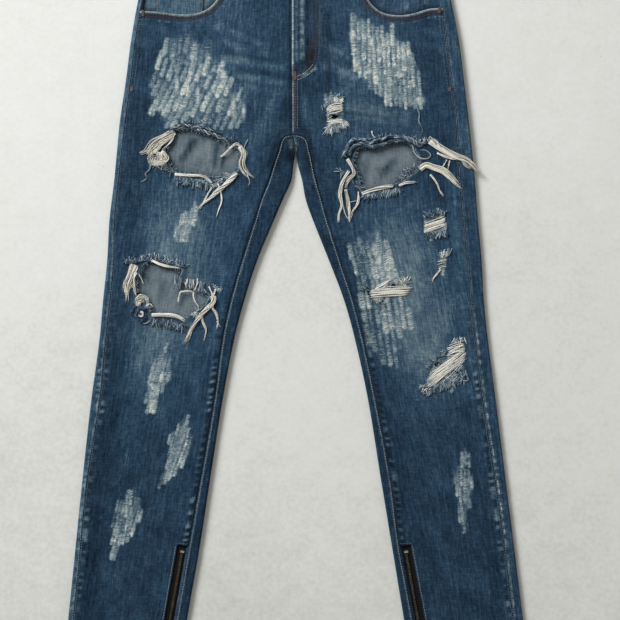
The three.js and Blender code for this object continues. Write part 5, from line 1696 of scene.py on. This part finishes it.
def kneeRightYarn():
    make = makersFor("right", 202)
    return [
        make.lock([(-219, 77), (-224, 62), (-229, 50), (-229, 38), (-227, 23)], (8, 9, 3), 10, 0.62, 0.5,
            stray=0.9),
        make.lock([(-214, 75), (-220, 62), (-222, 50), (-226, 35)], (6, 6, 2), 7, 0.6, 0.5, stray=1.0),
        make.lock([(-215, 66), (-218, 57), (-217, 49), (-217, 38), (-214, 33)], (3, 3, 2), 4, 0.6),
        make.lock([(-212, 65), (-208, 57), (-205, 49)], (2, 2, 1), 2, 0.55),
        make.lock([(-213, 20), (-214, 29), (-208, 34), (-201, 30), (-202, 21)], (4, 6, 4), 8, 0.65,
            turns=1.5),
        make.lock([(-211, 22), (-209, 28), (-204, 27)], (4, 5, 4), 5, 0.6, turns=1.5),
        make.lock([(-202, 21), (-196, 23), (-193, 18)], (2, 2, 1), 3, 0.6, tints=("white",)),
        make.roll([(-202, 16), (-209, 18), (-215, 13), (-214, 5), (-209, 1), (-203, 4), (-202, 12)],
            (5, 6, 5), 4, knotTints),
        make.lock([(-210, 14), (-206, 11), (-208, 7), (-211, 9), (-209, 13)], (3, 3, 2), 5, 0.6, 1.5,
            ("white", "pale", "white"), 3.0),
        make.roll([(-215, 20), (-220, 16), (-221, 10), (-216, 7)], (3, 4, 3), 2, knotTints),
        make.roll([(-203, 20), (-198, 18), (-195, 12)], (3, 5, 3), 2),
        make.lock([(-195, 83), (-185, 78), (-172, 74), (-154, 72)], (2.4, 2.6, 2), 3, 0.9, turns=0.4,
            tints=("white",), stray=0.1),
        make.lock([(-155, 40), (-147, 41), (-138, 40)], (2, 2, 2), 3, 0.75, tints=("white",), stray=0.1),
        make.lock([(-155, 40), (-157, 35), (-159, 25)], (2, 2, 1.5), 3, 0.65, tints=("white",)),
        make.lock([(-132, 58), (-134, 46), (-138, 40)], (2, 2, 2), 3, 0.65, tints=("white",)),
        make.lock([(-138, 40), (-137, 30), (-130, 19)], (2, 1.5, 1), 2, 0.6, tints=("white",)),
        make.lock([(-117, 47), (-113, 38), (-111, 26)], (2, 2, 3), 3, 0.65),
        make.lock([(-107, 44), (-110, 36), (-111, 26)], (2, 2, 3), 3, 0.65),
        make.lock([(-111, 34), (-111, 25), (-118, 18), (-126, 10), (-134, 0), (-141, -11), (-146, -21),
            (-151, -32)], (8, 6, 2), 10, 0.72, turns=1.2),
        make.lock([(-122, 14), (-126, 8), (-125, -1), (-121, -13), (-125, -28)], (3, 3, 1), 4, 0.65),
        make.lock([(-111, 26), (-112, 18), (-107, 10), (-105, -2), (-108, -13)], (4, 3, 1), 4, 0.65),
        make.lock([(-106, 0), (-101, -8)], (1.5, 1.2, 1), 2, 0.5),
        make.lock([(-194, 8), (-179, 9), (-165, 8), (-154, 4), (-147, -1)], (5.4, 6, 4.5), 7, 1.1,
            turns=0.25, tints=("white",), stray=0.1, lift=0.3),
        make.frill([(-228, 76), (-218, 79), (-206, 80), (-197, 82)], 22, 8, 84),
        make.frill([(-196, 84), (-180, 79), (-164, 75), (-150, 71)], 30, 9, 72),
        make.tuft([(-212, 74), (-204, 66)], 16, 8, 250, 35, 0.5, ("indigo", "blue")),
        make.tuft([(-162, 64), (-153, 62)], 9, 17, 264, 9, 0.85, ("pale", "blue", "denim", "blue")),
        make.tuft([(-148, 58), (-138, 57)], 9, 12, 268, 8, 0.85, ("pale", "white", "pale", "blue")),
        make.tuft([(-130, 56), (-123, 54)], 8, 13, 268, 8, 0.85, ("pale", "blue", "pale")),
        make.frill([(-194, 4), (-180, 4), (-166, 2), (-150, -4)], 34, 11, 264),
        make.tuft([(-112, 46), (-104, 40)], 14, 6, 40, 40, 0.4, tuftTints),
        make.tuft([(-128, 16), (-134, 8)], 14, 7, 200, 40, 0.4, tuftTints),
        make.fuzz("knee_right"),
    ]


def thighLeftYarn():
    make = makersFor("left", 203)
    return [
        make.lock([(70, 219), (78, 206), (79, 198), (71, 191), (67, 177)], (4, 5, 3), 7, 0.65),
        make.lock([(72, 203), (63, 188), (60, 171), (63, 157), (59, 145), (58, 131)], (5, 6, 1.5), 9, 0.68),
        make.lock([(68, 178), (71, 162), (73, 148), (73, 132)], (4, 4, 2), 6, 0.65),
        make.lock([(85, 175), (84, 160), (76, 145), (73, 133)], (3, 3, 2), 4, 0.62),
        make.lock([(73, 161), (79, 162), (85, 164)], (1.5, 1.2, 1), 2, 0.5),
        make.lock([(64, 158), (67, 146), (72, 136)], (1.5, 1.2, 1), 2, 0.5),
        make.roll([(66, 222), (69, 235), (80, 246), (90, 246), (96, 240), (104, 241), (121, 248), (135, 250),
            (145, 246), (160, 240)], (7, 7, 6), 6),
        make.roll([(72, 224), (76, 234), (88, 240), (104, 235), (122, 240), (140, 244), (152, 241)],
            (5, 6, 5), 4.5),
        make.roll([(146, 247), (158, 243), (168, 238), (178, 244)], (5, 6, 4), 2.5),
        make.lock([(103, 257), (104, 252), (108, 246)], (1.5, 1.2, 1), 2, 0.5, tints=("white",)),
        make.lock([(163, 292), (167, 280), (166, 270), (171, 260), (168, 250)], (2.4, 2, 2), 3, 0.42,
            tints=("pale", "blue")),
        make.lock([(157, 239), (161, 227), (169, 220), (179, 220), (183, 224), (176, 231), (164, 231)],
            (1.5, 1.6, 1.2), 2, 0.55, turns=1.0, tints=("white", "pale"), stray=0.2),
        make.lock([(182, 244), (192, 236), (204, 228), (218, 221), (230, 217), (240, 209), (249, 200),
            (259, 192)], (9, 8, 2), 12, 0.66, turns=0.5),
        make.lock([(191, 227), (208, 220), (224, 218), (229, 211), (239, 206)], (3, 5, 2), 6, 0.65),
        make.lock([(180, 248), (190, 241), (200, 232)], (5, 5, 4), 5, 0.5, tints=("cream", "pale")),
        make.lock([(204, 218), (201, 212), (197, 205)], (1.5, 1.5, 1.5), 2, 0.55),
        make.lock([(208, 217), (207, 211), (205, 204)], (1.5, 1.5, 1.5), 2, 0.55),
        make.lock([(168, 205), (176, 211), (186, 207), (198, 203), (208, 195), (218, 185), (227, 177)],
            (8, 9, 2), 13, 0.68, turns=0.5),
        make.lock([(182, 198), (190, 188), (195, 177), (201, 168)], (3, 3, 1.5), 4, 0.6),
        make.lock([(90, 172), (103, 177), (119, 181), (134, 183)], (4, 6, 5), 7, 1.05, turns=0.25,
            tints=("white",), stray=0.1, lift=0.3),
        make.lock([(140, 183), (151, 187), (165, 188)], (3, 4, 3), 5, 0.9, turns=0.3,
            tints=("white", "pale"), stray=0.15, lift=0.3),
        make.tuft([(64, 202), (68, 200)], 8, 10, 170, 20, 0.45, ("pale", "blue")),
        make.tuft([(77, 185), (86, 180)], 18, 9, 10, 40, 0.45, ("blue", "pale", "indigo")),
        make.frill([(92, 173), (108, 176), (124, 179), (140, 181)], 38, 10, 268),
        make.tuft([(141, 186), (154, 198), (166, 205)], 34, 9, 110, 35, 0.45, ("indigo", "blue", "pale")),
        make.tuft([(66, 228), (80, 248), (96, 243), (122, 250), (144, 248)], 30, 4, 85, 50, 0.4,
            ("blue", "indigo", "pale")),
        make.tuft([(150, 250), (164, 248), (178, 247)], 24, 7, 300, 60, 0.45,
            ("blue", "indigo", "pale", "white")),
        make.fuzz("thigh_left"),
    ]


def crotchLeftYarn():
    make = makersFor("left", 204)
    return [
        make.weft([(43, 290), (44, 281)], [(63, 293), (64, 285)], 11, 0.6),
        make.weft([(44, 271), (44, 266)], [(64, 273), (64, 268)], 6, 0.55),
        make.tuft([(37, 292), (45, 304), (51, 303)], 22, 9, 330, 40, 0.5, ("pale", "blue", "pale")),
        make.tuft([(53, 293), (61, 293)], 16, 8, 88, 20, 0.5, ("white", "pale", "cream")),
        make.tuft([(52, 302), (60, 300)], 10, 7, 60, 30, 0.45, ("pale", "blue")),
        make.tuft([(43, 268), (54, 269)], 30, 15, 265, 14, 0.5, ("pale", "white", "pale", "blue")),
        make.tuft([(60, 270), (67, 271)], 16, 10, 285, 20, 0.5, ("pale", "white")),
        make.tuft([(42, 288), (43, 272)], 14, 6, 350, 40, 0.45, ("pale", "white")),
    ]


def sideLeftYarn():
    make = makersFor("left", 205)
    return [
        make.weft([(175, 131), (174, 120)], [(202, 141), (202, 129)], 18, 0.6),
        make.frill([(176, 138), (188, 142), (201, 144)], 14, 8, 80),
        make.frill([(177, 122), (190, 122), (203, 124)], 15, 10, 268),
        make.weft([(192, 81), (193, 71)], [(205, 85), (203, 73)], 8, 0.55, ("cream", "pale")),
        make.tuft([(196, 84), (206, 88)], 14, 9, 80, 24, 0.45, ("pale", "white")),
        make.lock([(196, 70), (192, 65), (187, 59), (184, 52)], (3, 2, 1), 4, 0.5),
    ]


def kneeLeftYarn():
    make = makersFor("left", 206)
    return [
        make.weft([(101, 42), (102, 33)], [(157, 46), (151, 36)], 15, 0.58, loose=1.0),
        make.weft([(112, 47), (108, 42)], [(130, 57), (124, 50)], 7, 0.5, loose=1.0),
        make.tuft([(138, 48), (150, 54)], 14, 7, 20, 40, 0.45, ("cream", "pale")),
        make.tuft([(104, 32), (122, 30)], 16, 7, 280, 40, 0.4, ("pale", "blue", "white")),
        make.tuft([(92, 42), (100, 48)], 12, 6, 200, 50, 0.4, ("pale", "indigo")),
    ]


def shinLeftYarn():
    make = makersFor("left", 207)
    return [
        make.weft([(184, -70), (177, -84), (181, -92)], [(226, -36), (229, -48), (226, -58)], 34, 0.42,
            ("cream", "cream", "pale"), loose=1.6),
        make.weft([(207, -36), (206, -46)], [(226, -30), (229, -40)], 12, 0.5, loose=1.8),
        make.weft([(186, -70), (182, -80)], [(214, -52), (216, -60)], 10, 0.5, loose=1.8),
        make.tuft([(182, -64), (194, -52), (206, -44)], 30, 8, 130, 45, 0.42, ("pale", "blue", "indigo")),
        make.frill([(186, -86), (200, -80), (212, -77)], 22, 11, 262),
        make.frill([(208, -76), (220, -72), (230, -66)], 20, 13, 275),
        make.tuft([(174, -84), (178, -92), (184, -94)], 16, 8, 215, 25, 0.45, ("cream", "pale", "blue")),
        make.tuft([(214, -22), (226, -22)], 16, 8, 268, 20, 0.5, ("pale", "blue", "white")),
        make.tuft([(218, -70), (228, -66)], 14, 9, 290, 30, 0.5, ("pale", "blue")),
    ]


yarnPieces = {
    "yarn_thigh_right": (thighRightYarn, ["fray_thigh_right"]),
    "yarn_knee_right": (kneeRightYarn, ["fray_knee_right"]),
    "yarn_thigh_left": (thighLeftYarn, ["fray_thigh_left"]),
    "yarn_crotch_left": (crotchLeftYarn, []),
    "yarn_side_left": (sideLeftYarn, ["fray_side_left"]),
    "yarn_knee_left": (kneeLeftYarn, ["fray_knee_left"]),
    "yarn_shin_left": (shinLeftYarn, ["fray_shin_left"]),
}
for name, (makeParts, nodes) in yarnPieces.items():
    points, triangles, tints = joinParts(makeParts())
    piece = makePiece(name, points, triangles, [yarn], tints=tints)
    if nodes:
        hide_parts(*nodes)
    print(name, len(triangles), "triangles")


# Pale threads standing on the scraped patches

ribs = {"pitch": 2.3, "radius": 0.42, "faintest": 0.38}


def wornThreads(leg):
    rng = np.random.default_rng(300 + sideOf[leg])
    rows = []
    for patch in patchTable:
        if patch["leg"] != leg:
            continue
        for x0, y0, x1, y1, width, strength in patchDashes(patch):
            lean = math.atan2(x1 - x0, y1 - y0)
            count = max(2, int(math.hypot(x1 - x0, y1 - y0) / ribs["pitch"]))
            for share in (np.arange(count) + 0.5) / count:
                half = width * rng.uniform(0.6, 1.2) * (0.55 + 0.45 * math.sin(math.pi * share))
                tilt = rng.normal(0, 0.16) - lean
                middle = (x0 + (x1 - x0) * share + rng.normal(0, 0.5), y0 + (y1 - y0) * share)
                bright = strength * patch["peak"] * rng.uniform(0.45, 1.35)
                if bright > ribs["faintest"]:
                    rows.append((*middle, half * math.cos(tilt), half * math.sin(tilt), bright))
    rows = np.array(rows)
    share = np.linspace(-1, 1, 5)
    flat = rows[:, None, :2] + rows[:, None, 2:4] * share[:, None]
    flat[..., 1] += rng.normal(0, 0.5, (len(rows), 1)) * (1 - share ** 2)
    ground = frontSurface(leg, flat[..., 0].ravel(), flat[..., 1].ravel()).reshape(flat.shape[:2])
    z = ground + panel["dashLift"] - 0.25 + 0.5 * (1 - share ** 2)
    radii = ribs["radius"] * rng.uniform(0.7, 1.25, (len(rows), 1)) * (0.55 + 0.45 * (1 - share ** 2))
    mixed = np.clip(rows[:, 4:], 0, 1)
    tints = tintOf["blue"] + (tintOf["thread"] - tintOf["blue"]) * mixed
    points, triangles, tints = tubeParts(np.concatenate([flat, z[..., None]], axis=2), radii, tints, 4)
    makePiece(f"worn_threads_{leg}", points, triangles, [yarn], tints=tints)
    print(f"worn threads {leg}:", len(triangles), "triangles")


for leg in sideOf:
    wornThreads(leg)


# Sewing

stitch = {"pitch": 3.4, "length": 2.7, "radius": 0.36, "lift": 0.15, "dip": 0.35, "tackRadius": 0.42}
threadTints = tintTable({
    "tan": (158, 142, 126), "pale": (164, 168, 166), "brown": (86, 72, 69), "rust": (98, 78, 73),
    "blue": (86, 106, 120), "ash": (94, 122, 142),
})
sewn = {  # rows on the fronts: how far beside a seam or an edge, where they end, and thicker threads
    "rowStep": 4.0,
    "hemGap": 2,
    "hemRowY": -506.0,
    "inseamGap": 1.5,
    "inseamRadius": 0.46,
    "sideGap": 2.2,
    "sideTackY": 313,
    "ridgeTopY": 416,
    "ridgeLift": 0.5,
    "ridgeRadius": 0.66,
    "hipGaps": (2.0, 6.5),
    "mouthRows": ((2.6, "tan", 0.44), (7.4, "brown", None)),
    "bandInset": 3.0,
    "coinInset": 0.06,  # as a share of the pocket
    "pocketInset": 0.045,
}


# Stitches along a line of points in space, on its upper or lower side
def sew(line, tint, seed, upward=1, radius=None, fading=0.25):
    rng = np.random.default_rng(seed)
    line = np.asarray(line, float)
    count = max(1, int(lengthOf(line) / stitch["pitch"]))
    marks = 14  # places along each pitch, from which four are picked
    fine = alongLine(line, count * marks + 1)
    starts = np.arange(count) * marks
    reach = int(round(marks * stitch["length"] / stitch["pitch"]))
    picked = starts[:, None] + np.round(np.linspace(0, reach, 4)).astype(int)
    paths = fine[picked]
    rise = np.array([-stitch["dip"], stitch["lift"], stitch["lift"], -stitch["dip"]])
    paths[..., 2] += upward * rise
    paths[..., :2] += rng.normal(0, 0.09, (count, 1, 2))
    size = radius or stitch["radius"]
    radii = size * rng.uniform(0.85, 1.1, (count, 1)) * np.array([0.8, 1, 1, 0.8])
    colours = threadTints[tint] * (1 - fading * rng.uniform(0, 1, (count, 1)))
    return tubeParts(paths, radii, colours)


def barTack(x, y, z, width, height, tint):  # close zigzag across a short bar
    turns = 9
    share = np.linspace(0, 1, turns * 2 + 1)
    across = np.where(np.arange(len(share)) % 2 == 0, -0.5, 0.5) * width
    line = columns(x + across, y + (share - 0.5) * height, z + 0.35)
    fine = alongLine(line, 120)[None]
    return tubeParts(fine, np.full((1, 120), stitch["tackRadius"]), threadTints[tint][None])


def onFront(leg, flat):
    flat = np.asarray(flat, float)
    return np.column_stack([flat, frontSurface(leg, flat[:, 0], flat[:, 1])])


def offsetLine(flat, distance):
    flat = np.asarray(flat, float)
    along = np.gradient(flat, axis=0)
    along /= np.linalg.norm(along, axis=1, keepdims=True) + 1e-9
    return flat + distance * columns(-along[:, 1], along[:, 0])


def inseamLine(leg, inset):  # on the back's inner flange, beside the inseam
    level = np.arange(cut["hemY"] + 1, cut["crotchFoldY"] - 0.1, 1.0)
    y = seamLevel(level)
    seam = columns(sideOf[leg] * frontInseam(leg, y), y)
    flat = offsetLine(seam, sideOf[leg] * inset)
    return np.column_stack([flat, baseHeight(level) + 2 * innerRadius(level)])


def sewFront(leg, x, y, tint, seed, **settings):  # a row on a front, from places across and up it
    return sew(onFront(leg, columns(x, y)), tint, seed, **settings)


def tackFront(leg, x, y, width, height, tint):
    return barTack(*onFront(leg, [[x, y]])[0], width, height, tint)


def legSewing(leg, seed):
    side, step = sideOf[leg], sewn["rowStep"]
    foot, tackY = cut["hemY"] + sewn["hemGap"], sewn["sideTackY"]
    yield sew(inseamLine(leg, sewn["inseamGap"]), "pale", 400 + seed, radius=sewn["inseamRadius"])
    up = np.arange(foot, tackY + 1, step)
    x = side * (outseam(leg, up) - sewn["sideGap"])
    yield sewFront(leg, x, up, "ash", 410 + seed, fading=0.5)
    up = np.arange(foot, sewn["ridgeTopY"], step)
    z = baseHeight(up) + 2 * cut["foldRadius"] + sewn["ridgeLift"]
    ridge = columns(side * outseam(leg, up), up, z)
    yield sew(ridge, "ash", 414 + seed, radius=sewn["ridgeRadius"], fading=0.65)
    hip = np.arange(tackY - 1, sewn["ridgeTopY"], step)
    for row, gap in enumerate(sewn["hipGaps"]):
        x = side * (outseam(leg, hip) - gap)
        yield sewFront(leg, x, hip, "ash", 420 + 2 * seed + row, fading=0.7)
    mouth = mouthLine(leg)
    for row, (gap, tint, radius) in enumerate(sewn["mouthRows"]):
        flat = offsetLine(mouth, side * gap)
        flat = flat[flat[:, 1] < frontWaistY(flat[:, 0]) - 1.5]
        yield sew(onFront(leg, flat), tint, 430 + 5 * seed + row, radius=radius)
    slot = np.arange(foot, cut["zipTopY"], step)
    x = side * (inseam(leg, slot) + cut["zipWidth"] + 2.0)
    yield sewFront(leg, x, slot, "pale", 440 + seed)
    top = float(inseam(leg, cut["zipTopY"]))
    across = side * np.linspace(top + 2, top + cut["zipWidth"] + 2, 8)
    yield sewFront(leg, across, cut["zipTopY"] + 2, "blue", 444 + seed)
    y = sewn["hemRowY"]
    inner = float(inseam(leg, y)) + cut["zipWidth"] + 2
    across = side * np.linspace(inner, float(outseam(leg, y)) - 2, 60)
    yield sewFront(leg, across, y, "tan", 448 + seed)
    y = mouth[0, 1] - 3
    yield tackFront(leg, side * (float(outseam(leg, y)) - 5), y, 4, 8, "brown")
    yield tackFront(leg, side * (float(outseam(leg, tackY)) - 4), tackY, 4, 5, "rust")


def flySewing():
    fly = roundedLine(flyStitch["path"])
    for row, line in enumerate((fly, offsetLine(fly, flyStitch["rowGap"])[:-4])):
        isLow = line[:, 1] < flyStitch["paleBelow"]
        yield sew(onFront("left", line[~isLow]), "rust", 450 + row)
        yield sew(onFront("left", line[isLow]), "pale", 458 + row, radius=0.5)
    down = np.arange(flyStitch["seamFrom"], flyStitch["seamTo"], -3.0)
    for row, x in enumerate(flyStitch["seamRows"]):
        yield sewFront("left", x, down, "tan", 452 + row, fading=0.5)
    yield tackFront("left", -0.5, 331.0, 4, 11, "rust")
    yield sewFront("left", -2.4, np.linspace(464, 346, 30), "pale", 455)


def insetRing(outline, share, z):  # a ring of corners drawn in towards their middle
    outline = np.array(outline, float)
    inner = outline + (outline.mean(axis=0) - outline) * share
    return np.column_stack([inner, np.full(len(inner), z)])


def bandSewing():
    for row, high in enumerate((sewn["bandInset"], cut["bandHeight"] - sewn["bandInset"])):
        side = cut["bandHalf"] - 4 - cut["bandTaper"] * high
        halves = ((np.linspace(-2, side, 70), True, 460), (np.linspace(-side, -6, 70), False, 462))
        for x, isLeft, seed in halves:
            line = columns(x, frontWaistY(x) + high, bandTop(x, isLeft) - 0.35)
            yield sew(line, "tan", seed + row)
    loopTop = bandFrontTop + cut["seamGap"] + cut["patch"]
    for k, x in enumerate((beltLoops["front_right"], beltLoops["front_left"])):
        low = float(frontWaistY(x))
        for shift in (-4, 4):
            up = np.linspace(low + 5, low + 33, 12)
            line = columns(x + shift, up, loopTop)
            yield sew(line, "tan", 470 + k + shift)
        for y in (low + 4, low + cut["bandHeight"] - 4):
            yield barTack(x, y, loopTop, 10, 2.6, "tan")


def frontSewing():
    for seed, leg in enumerate(sideOf):
        yield from legSewing(leg, seed)
    yield from flySewing()
    ring = insetRing(coinOutline, sewn["coinInset"], coinZ + cut["patch"])
    yield sew(np.concatenate([ring[3:], ring[:3]]), "tan", 456)
    yield from bandSewing()


def backSewing():
    for seed, leg in enumerate(sideOf):
        side = sideOf[leg]
        across = np.linspace(2, cut["yokeReach"], 80)
        under = cut["hipLift"]
        for row, gap in enumerate((2.5, 8.0)):
            line = columns(side * across, yokeSeamY(across) + gap, under)
            yield sew(line, "tan", 500 + 4 * seed + row, -1)
        ring = insetRing([(side * x, y) for x, y in backPocketOutline], sewn["pocketInset"], 0.5)
        yield sew(np.concatenate([ring[1:], ring[:1]]), "tan", 510 + seed, -1)
        yield sew(ring[:2] + (0, -9, 0), "tan", 514 + seed, -1)
    for row, x in enumerate((2.4, 7.6)):
        y = np.linspace(240, 408, 60)
        yield sew(columns(x, y, baseHeight(y)), "tan", 520 + row, -1)
    for row, high in enumerate((sewn["bandInset"], cut["bandHeight"] - sewn["bandInset"])):
        side = cut["bandHalf"] - 6 - cut["bandTaper"] * high
        x = np.linspace(-side, side, 140)
        line = columns(x, backWaistY(x) + high, cut["hipLift"] + 0.35)
        yield sew(line, "tan", 524 + row, -1)


for name, makeParts in (("sewing_front", frontSewing), ("sewing_back", backSewing)):
    points, triangles, tints = joinParts(makeParts())
    makePiece(name, points, triangles, [sewing], tints=tints)
    print(name, len(triangles), "triangles")


# Ankle zips

zipSize = {
    "length": 206, "tapeOver": 3, "tape": 0.8, "tapeZ": 2.8, "sliderLength": 13, "stopLength": 12,
    "toothPitch": 2.2, "tooth": (2.9, 1.25, 1.5), "toothLean": 0.8,
}


def zipFrame(leg):
    side, footY = sideOf[leg], cut["hemY"] + 14
    foot = np.array([side * (float(inseam(leg, footY)) + cut["zipWidth"] / 2), footY])
    head = np.array([side * (float(inseam(leg, cut["zipTopY"])) + cut["zipWidth"] / 2), cut["zipTopY"]])
    along = (head - foot) / np.linalg.norm(head - foot)
    return foot, along, np.array([along[1], -along[0]])


def onZip(leg, local):
    foot, along, across = zipFrame(leg)
    flat = foot + local[:, :1] * across + local[:, 1:2] * along
    return np.column_stack([flat, local[:, 2]])


def zipTape(leg):
    width = cut["zipWidth"] + 2 * zipSize["tapeOver"]
    across = np.linspace(-width / 2, width / 2, 31)
    along = np.linspace(-9, zipSize["length"] - 2.5, 140)
    gridX, gridY = np.meshgrid(across, along)
    ridge = 0.18 * bell(np.abs(gridX) - 4.2, 0.8) - 0.05 * np.cos(gridX * 3.2)
    z = zipSize["tapeZ"] + zipSize["tape"] + ridge
    local = columns(gridX.ravel(), gridY.ravel(), z.ravel())
    grid = onZip(leg, local).reshape(len(along), len(across), 3)
    points, triangles = gridShell(grid, zipSize["tape"], 1)[:2]
    grain = np.concatenate([local, local])
    piece = makePiece(f"zip_tape_cloth_{leg}", points, triangles, [tapeCloth], grain=grain)
    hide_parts(f"zip_tape_{leg}")
    return piece


def zipTeeth(leg):
    start = zipSize["sliderLength"] / 2 + cut["seamGap"]
    end = zipSize["length"] - zipSize["stopLength"]
    width, depth, height = zipSize["tooth"]
    z0 = zipSize["tapeZ"] + zipSize["tape"] + cut["seamGap"]
    shape = [(-1, 0.55), (-0.6, 1), (0.6, 1), (1, 0.55)]  # rounded section of a tooth across its width
    section = [(0.5 * width * u, v * height) for u, v in shape]
    section = np.array(section + [(0.5 * width, 0), (-0.5 * width, 0)])
    points, faces, shift = [], [], 0
    marks = np.arange(start + depth, end - depth, zipSize["toothPitch"] / 2)
    for k, mark in enumerate(marks):
        lean = zipSize["toothLean"] if k % 2 else -zipSize["toothLean"]
        rings = []
        for y, scale in ((-depth / 2, 0.82), (-depth / 4, 1.0), (depth / 4, 1.0), (depth / 2, 0.82)):
            x, z = (section * scale).T
            rings.append(columns(x + lean, mark + y, z0 + z))
        points.append(np.concatenate(rings))
        for ring in range(3):
            for n in range(6):
                a, b = shift + 6 * ring + n, shift + 6 * ring + (n + 1) % 6
                faces += [(a, b, b + 6), (a, b + 6, a + 6)]
        for n in range(1, 5):
            faces.append((shift, shift + n + 1, shift + n))
            faces.append((shift + 18, shift + 18 + n, shift + 18 + n + 1))
        shift += 24
    placed = onZip(leg, np.concatenate(points))
    piece = makePiece(f"zip_teeth_{leg}", placed, np.array(faces), [darkMetal])
    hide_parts(f"zip_chain_{leg}")


def bevelledCopy(node, name, body, finish, width):  # the node's own shape with softened edges
    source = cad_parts[node]
    mesh = source.data.copy()
    mesh.materials.clear()
    mesh.materials.append(finish)
    piece = bpy.data.objects.new(name, mesh)
    bpy.context.collection.objects.link(piece)
    bevel = piece.modifiers.new("softened", "BEVEL")
    bevel.width = width * mm
    bevel.segments = 2
    bevel.limit_method = "ANGLE"
    bevel.angle_limit = math.radians(40)
    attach(piece, body)
    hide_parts(node)


tapes = {leg: zipTape(leg) for leg in sideOf}
for leg in sideOf:
    zipTeeth(leg)
    # the end stop takes the paler metal: a painted glint
    bevelledCopy(f"zip_stop_{leg}", f"zip_end_stop_{leg}", "jeans", glintMetal, 0.35)
    bevelledCopy(f"zip_slider_{leg}", f"zip_runner_{leg}", "jeans", darkMetal, 0.3)
    bevelledCopy(f"pull_tab_{leg}", f"zip_pull_{leg}", f"tab_{leg}", darkMetal, 0.2)
print("zips ready")


# The cut of each sheet of cloth, in metres

for leg in sideOf:
    piece, area = fronts[leg]
patchFlat = {
    "pocket_facing": (0.142, 0.086), "back_pocket": (0.136, 0.156), "coin_pocket": (0.066, 0.061),
    "belt_loop": (0.012, 0.034),
}
for name, (piece, area) in patches.items():
    flat = next(size for key, size in patchFlat.items() if name.startswith(key))
    min(area, flat[0] * flat[1])
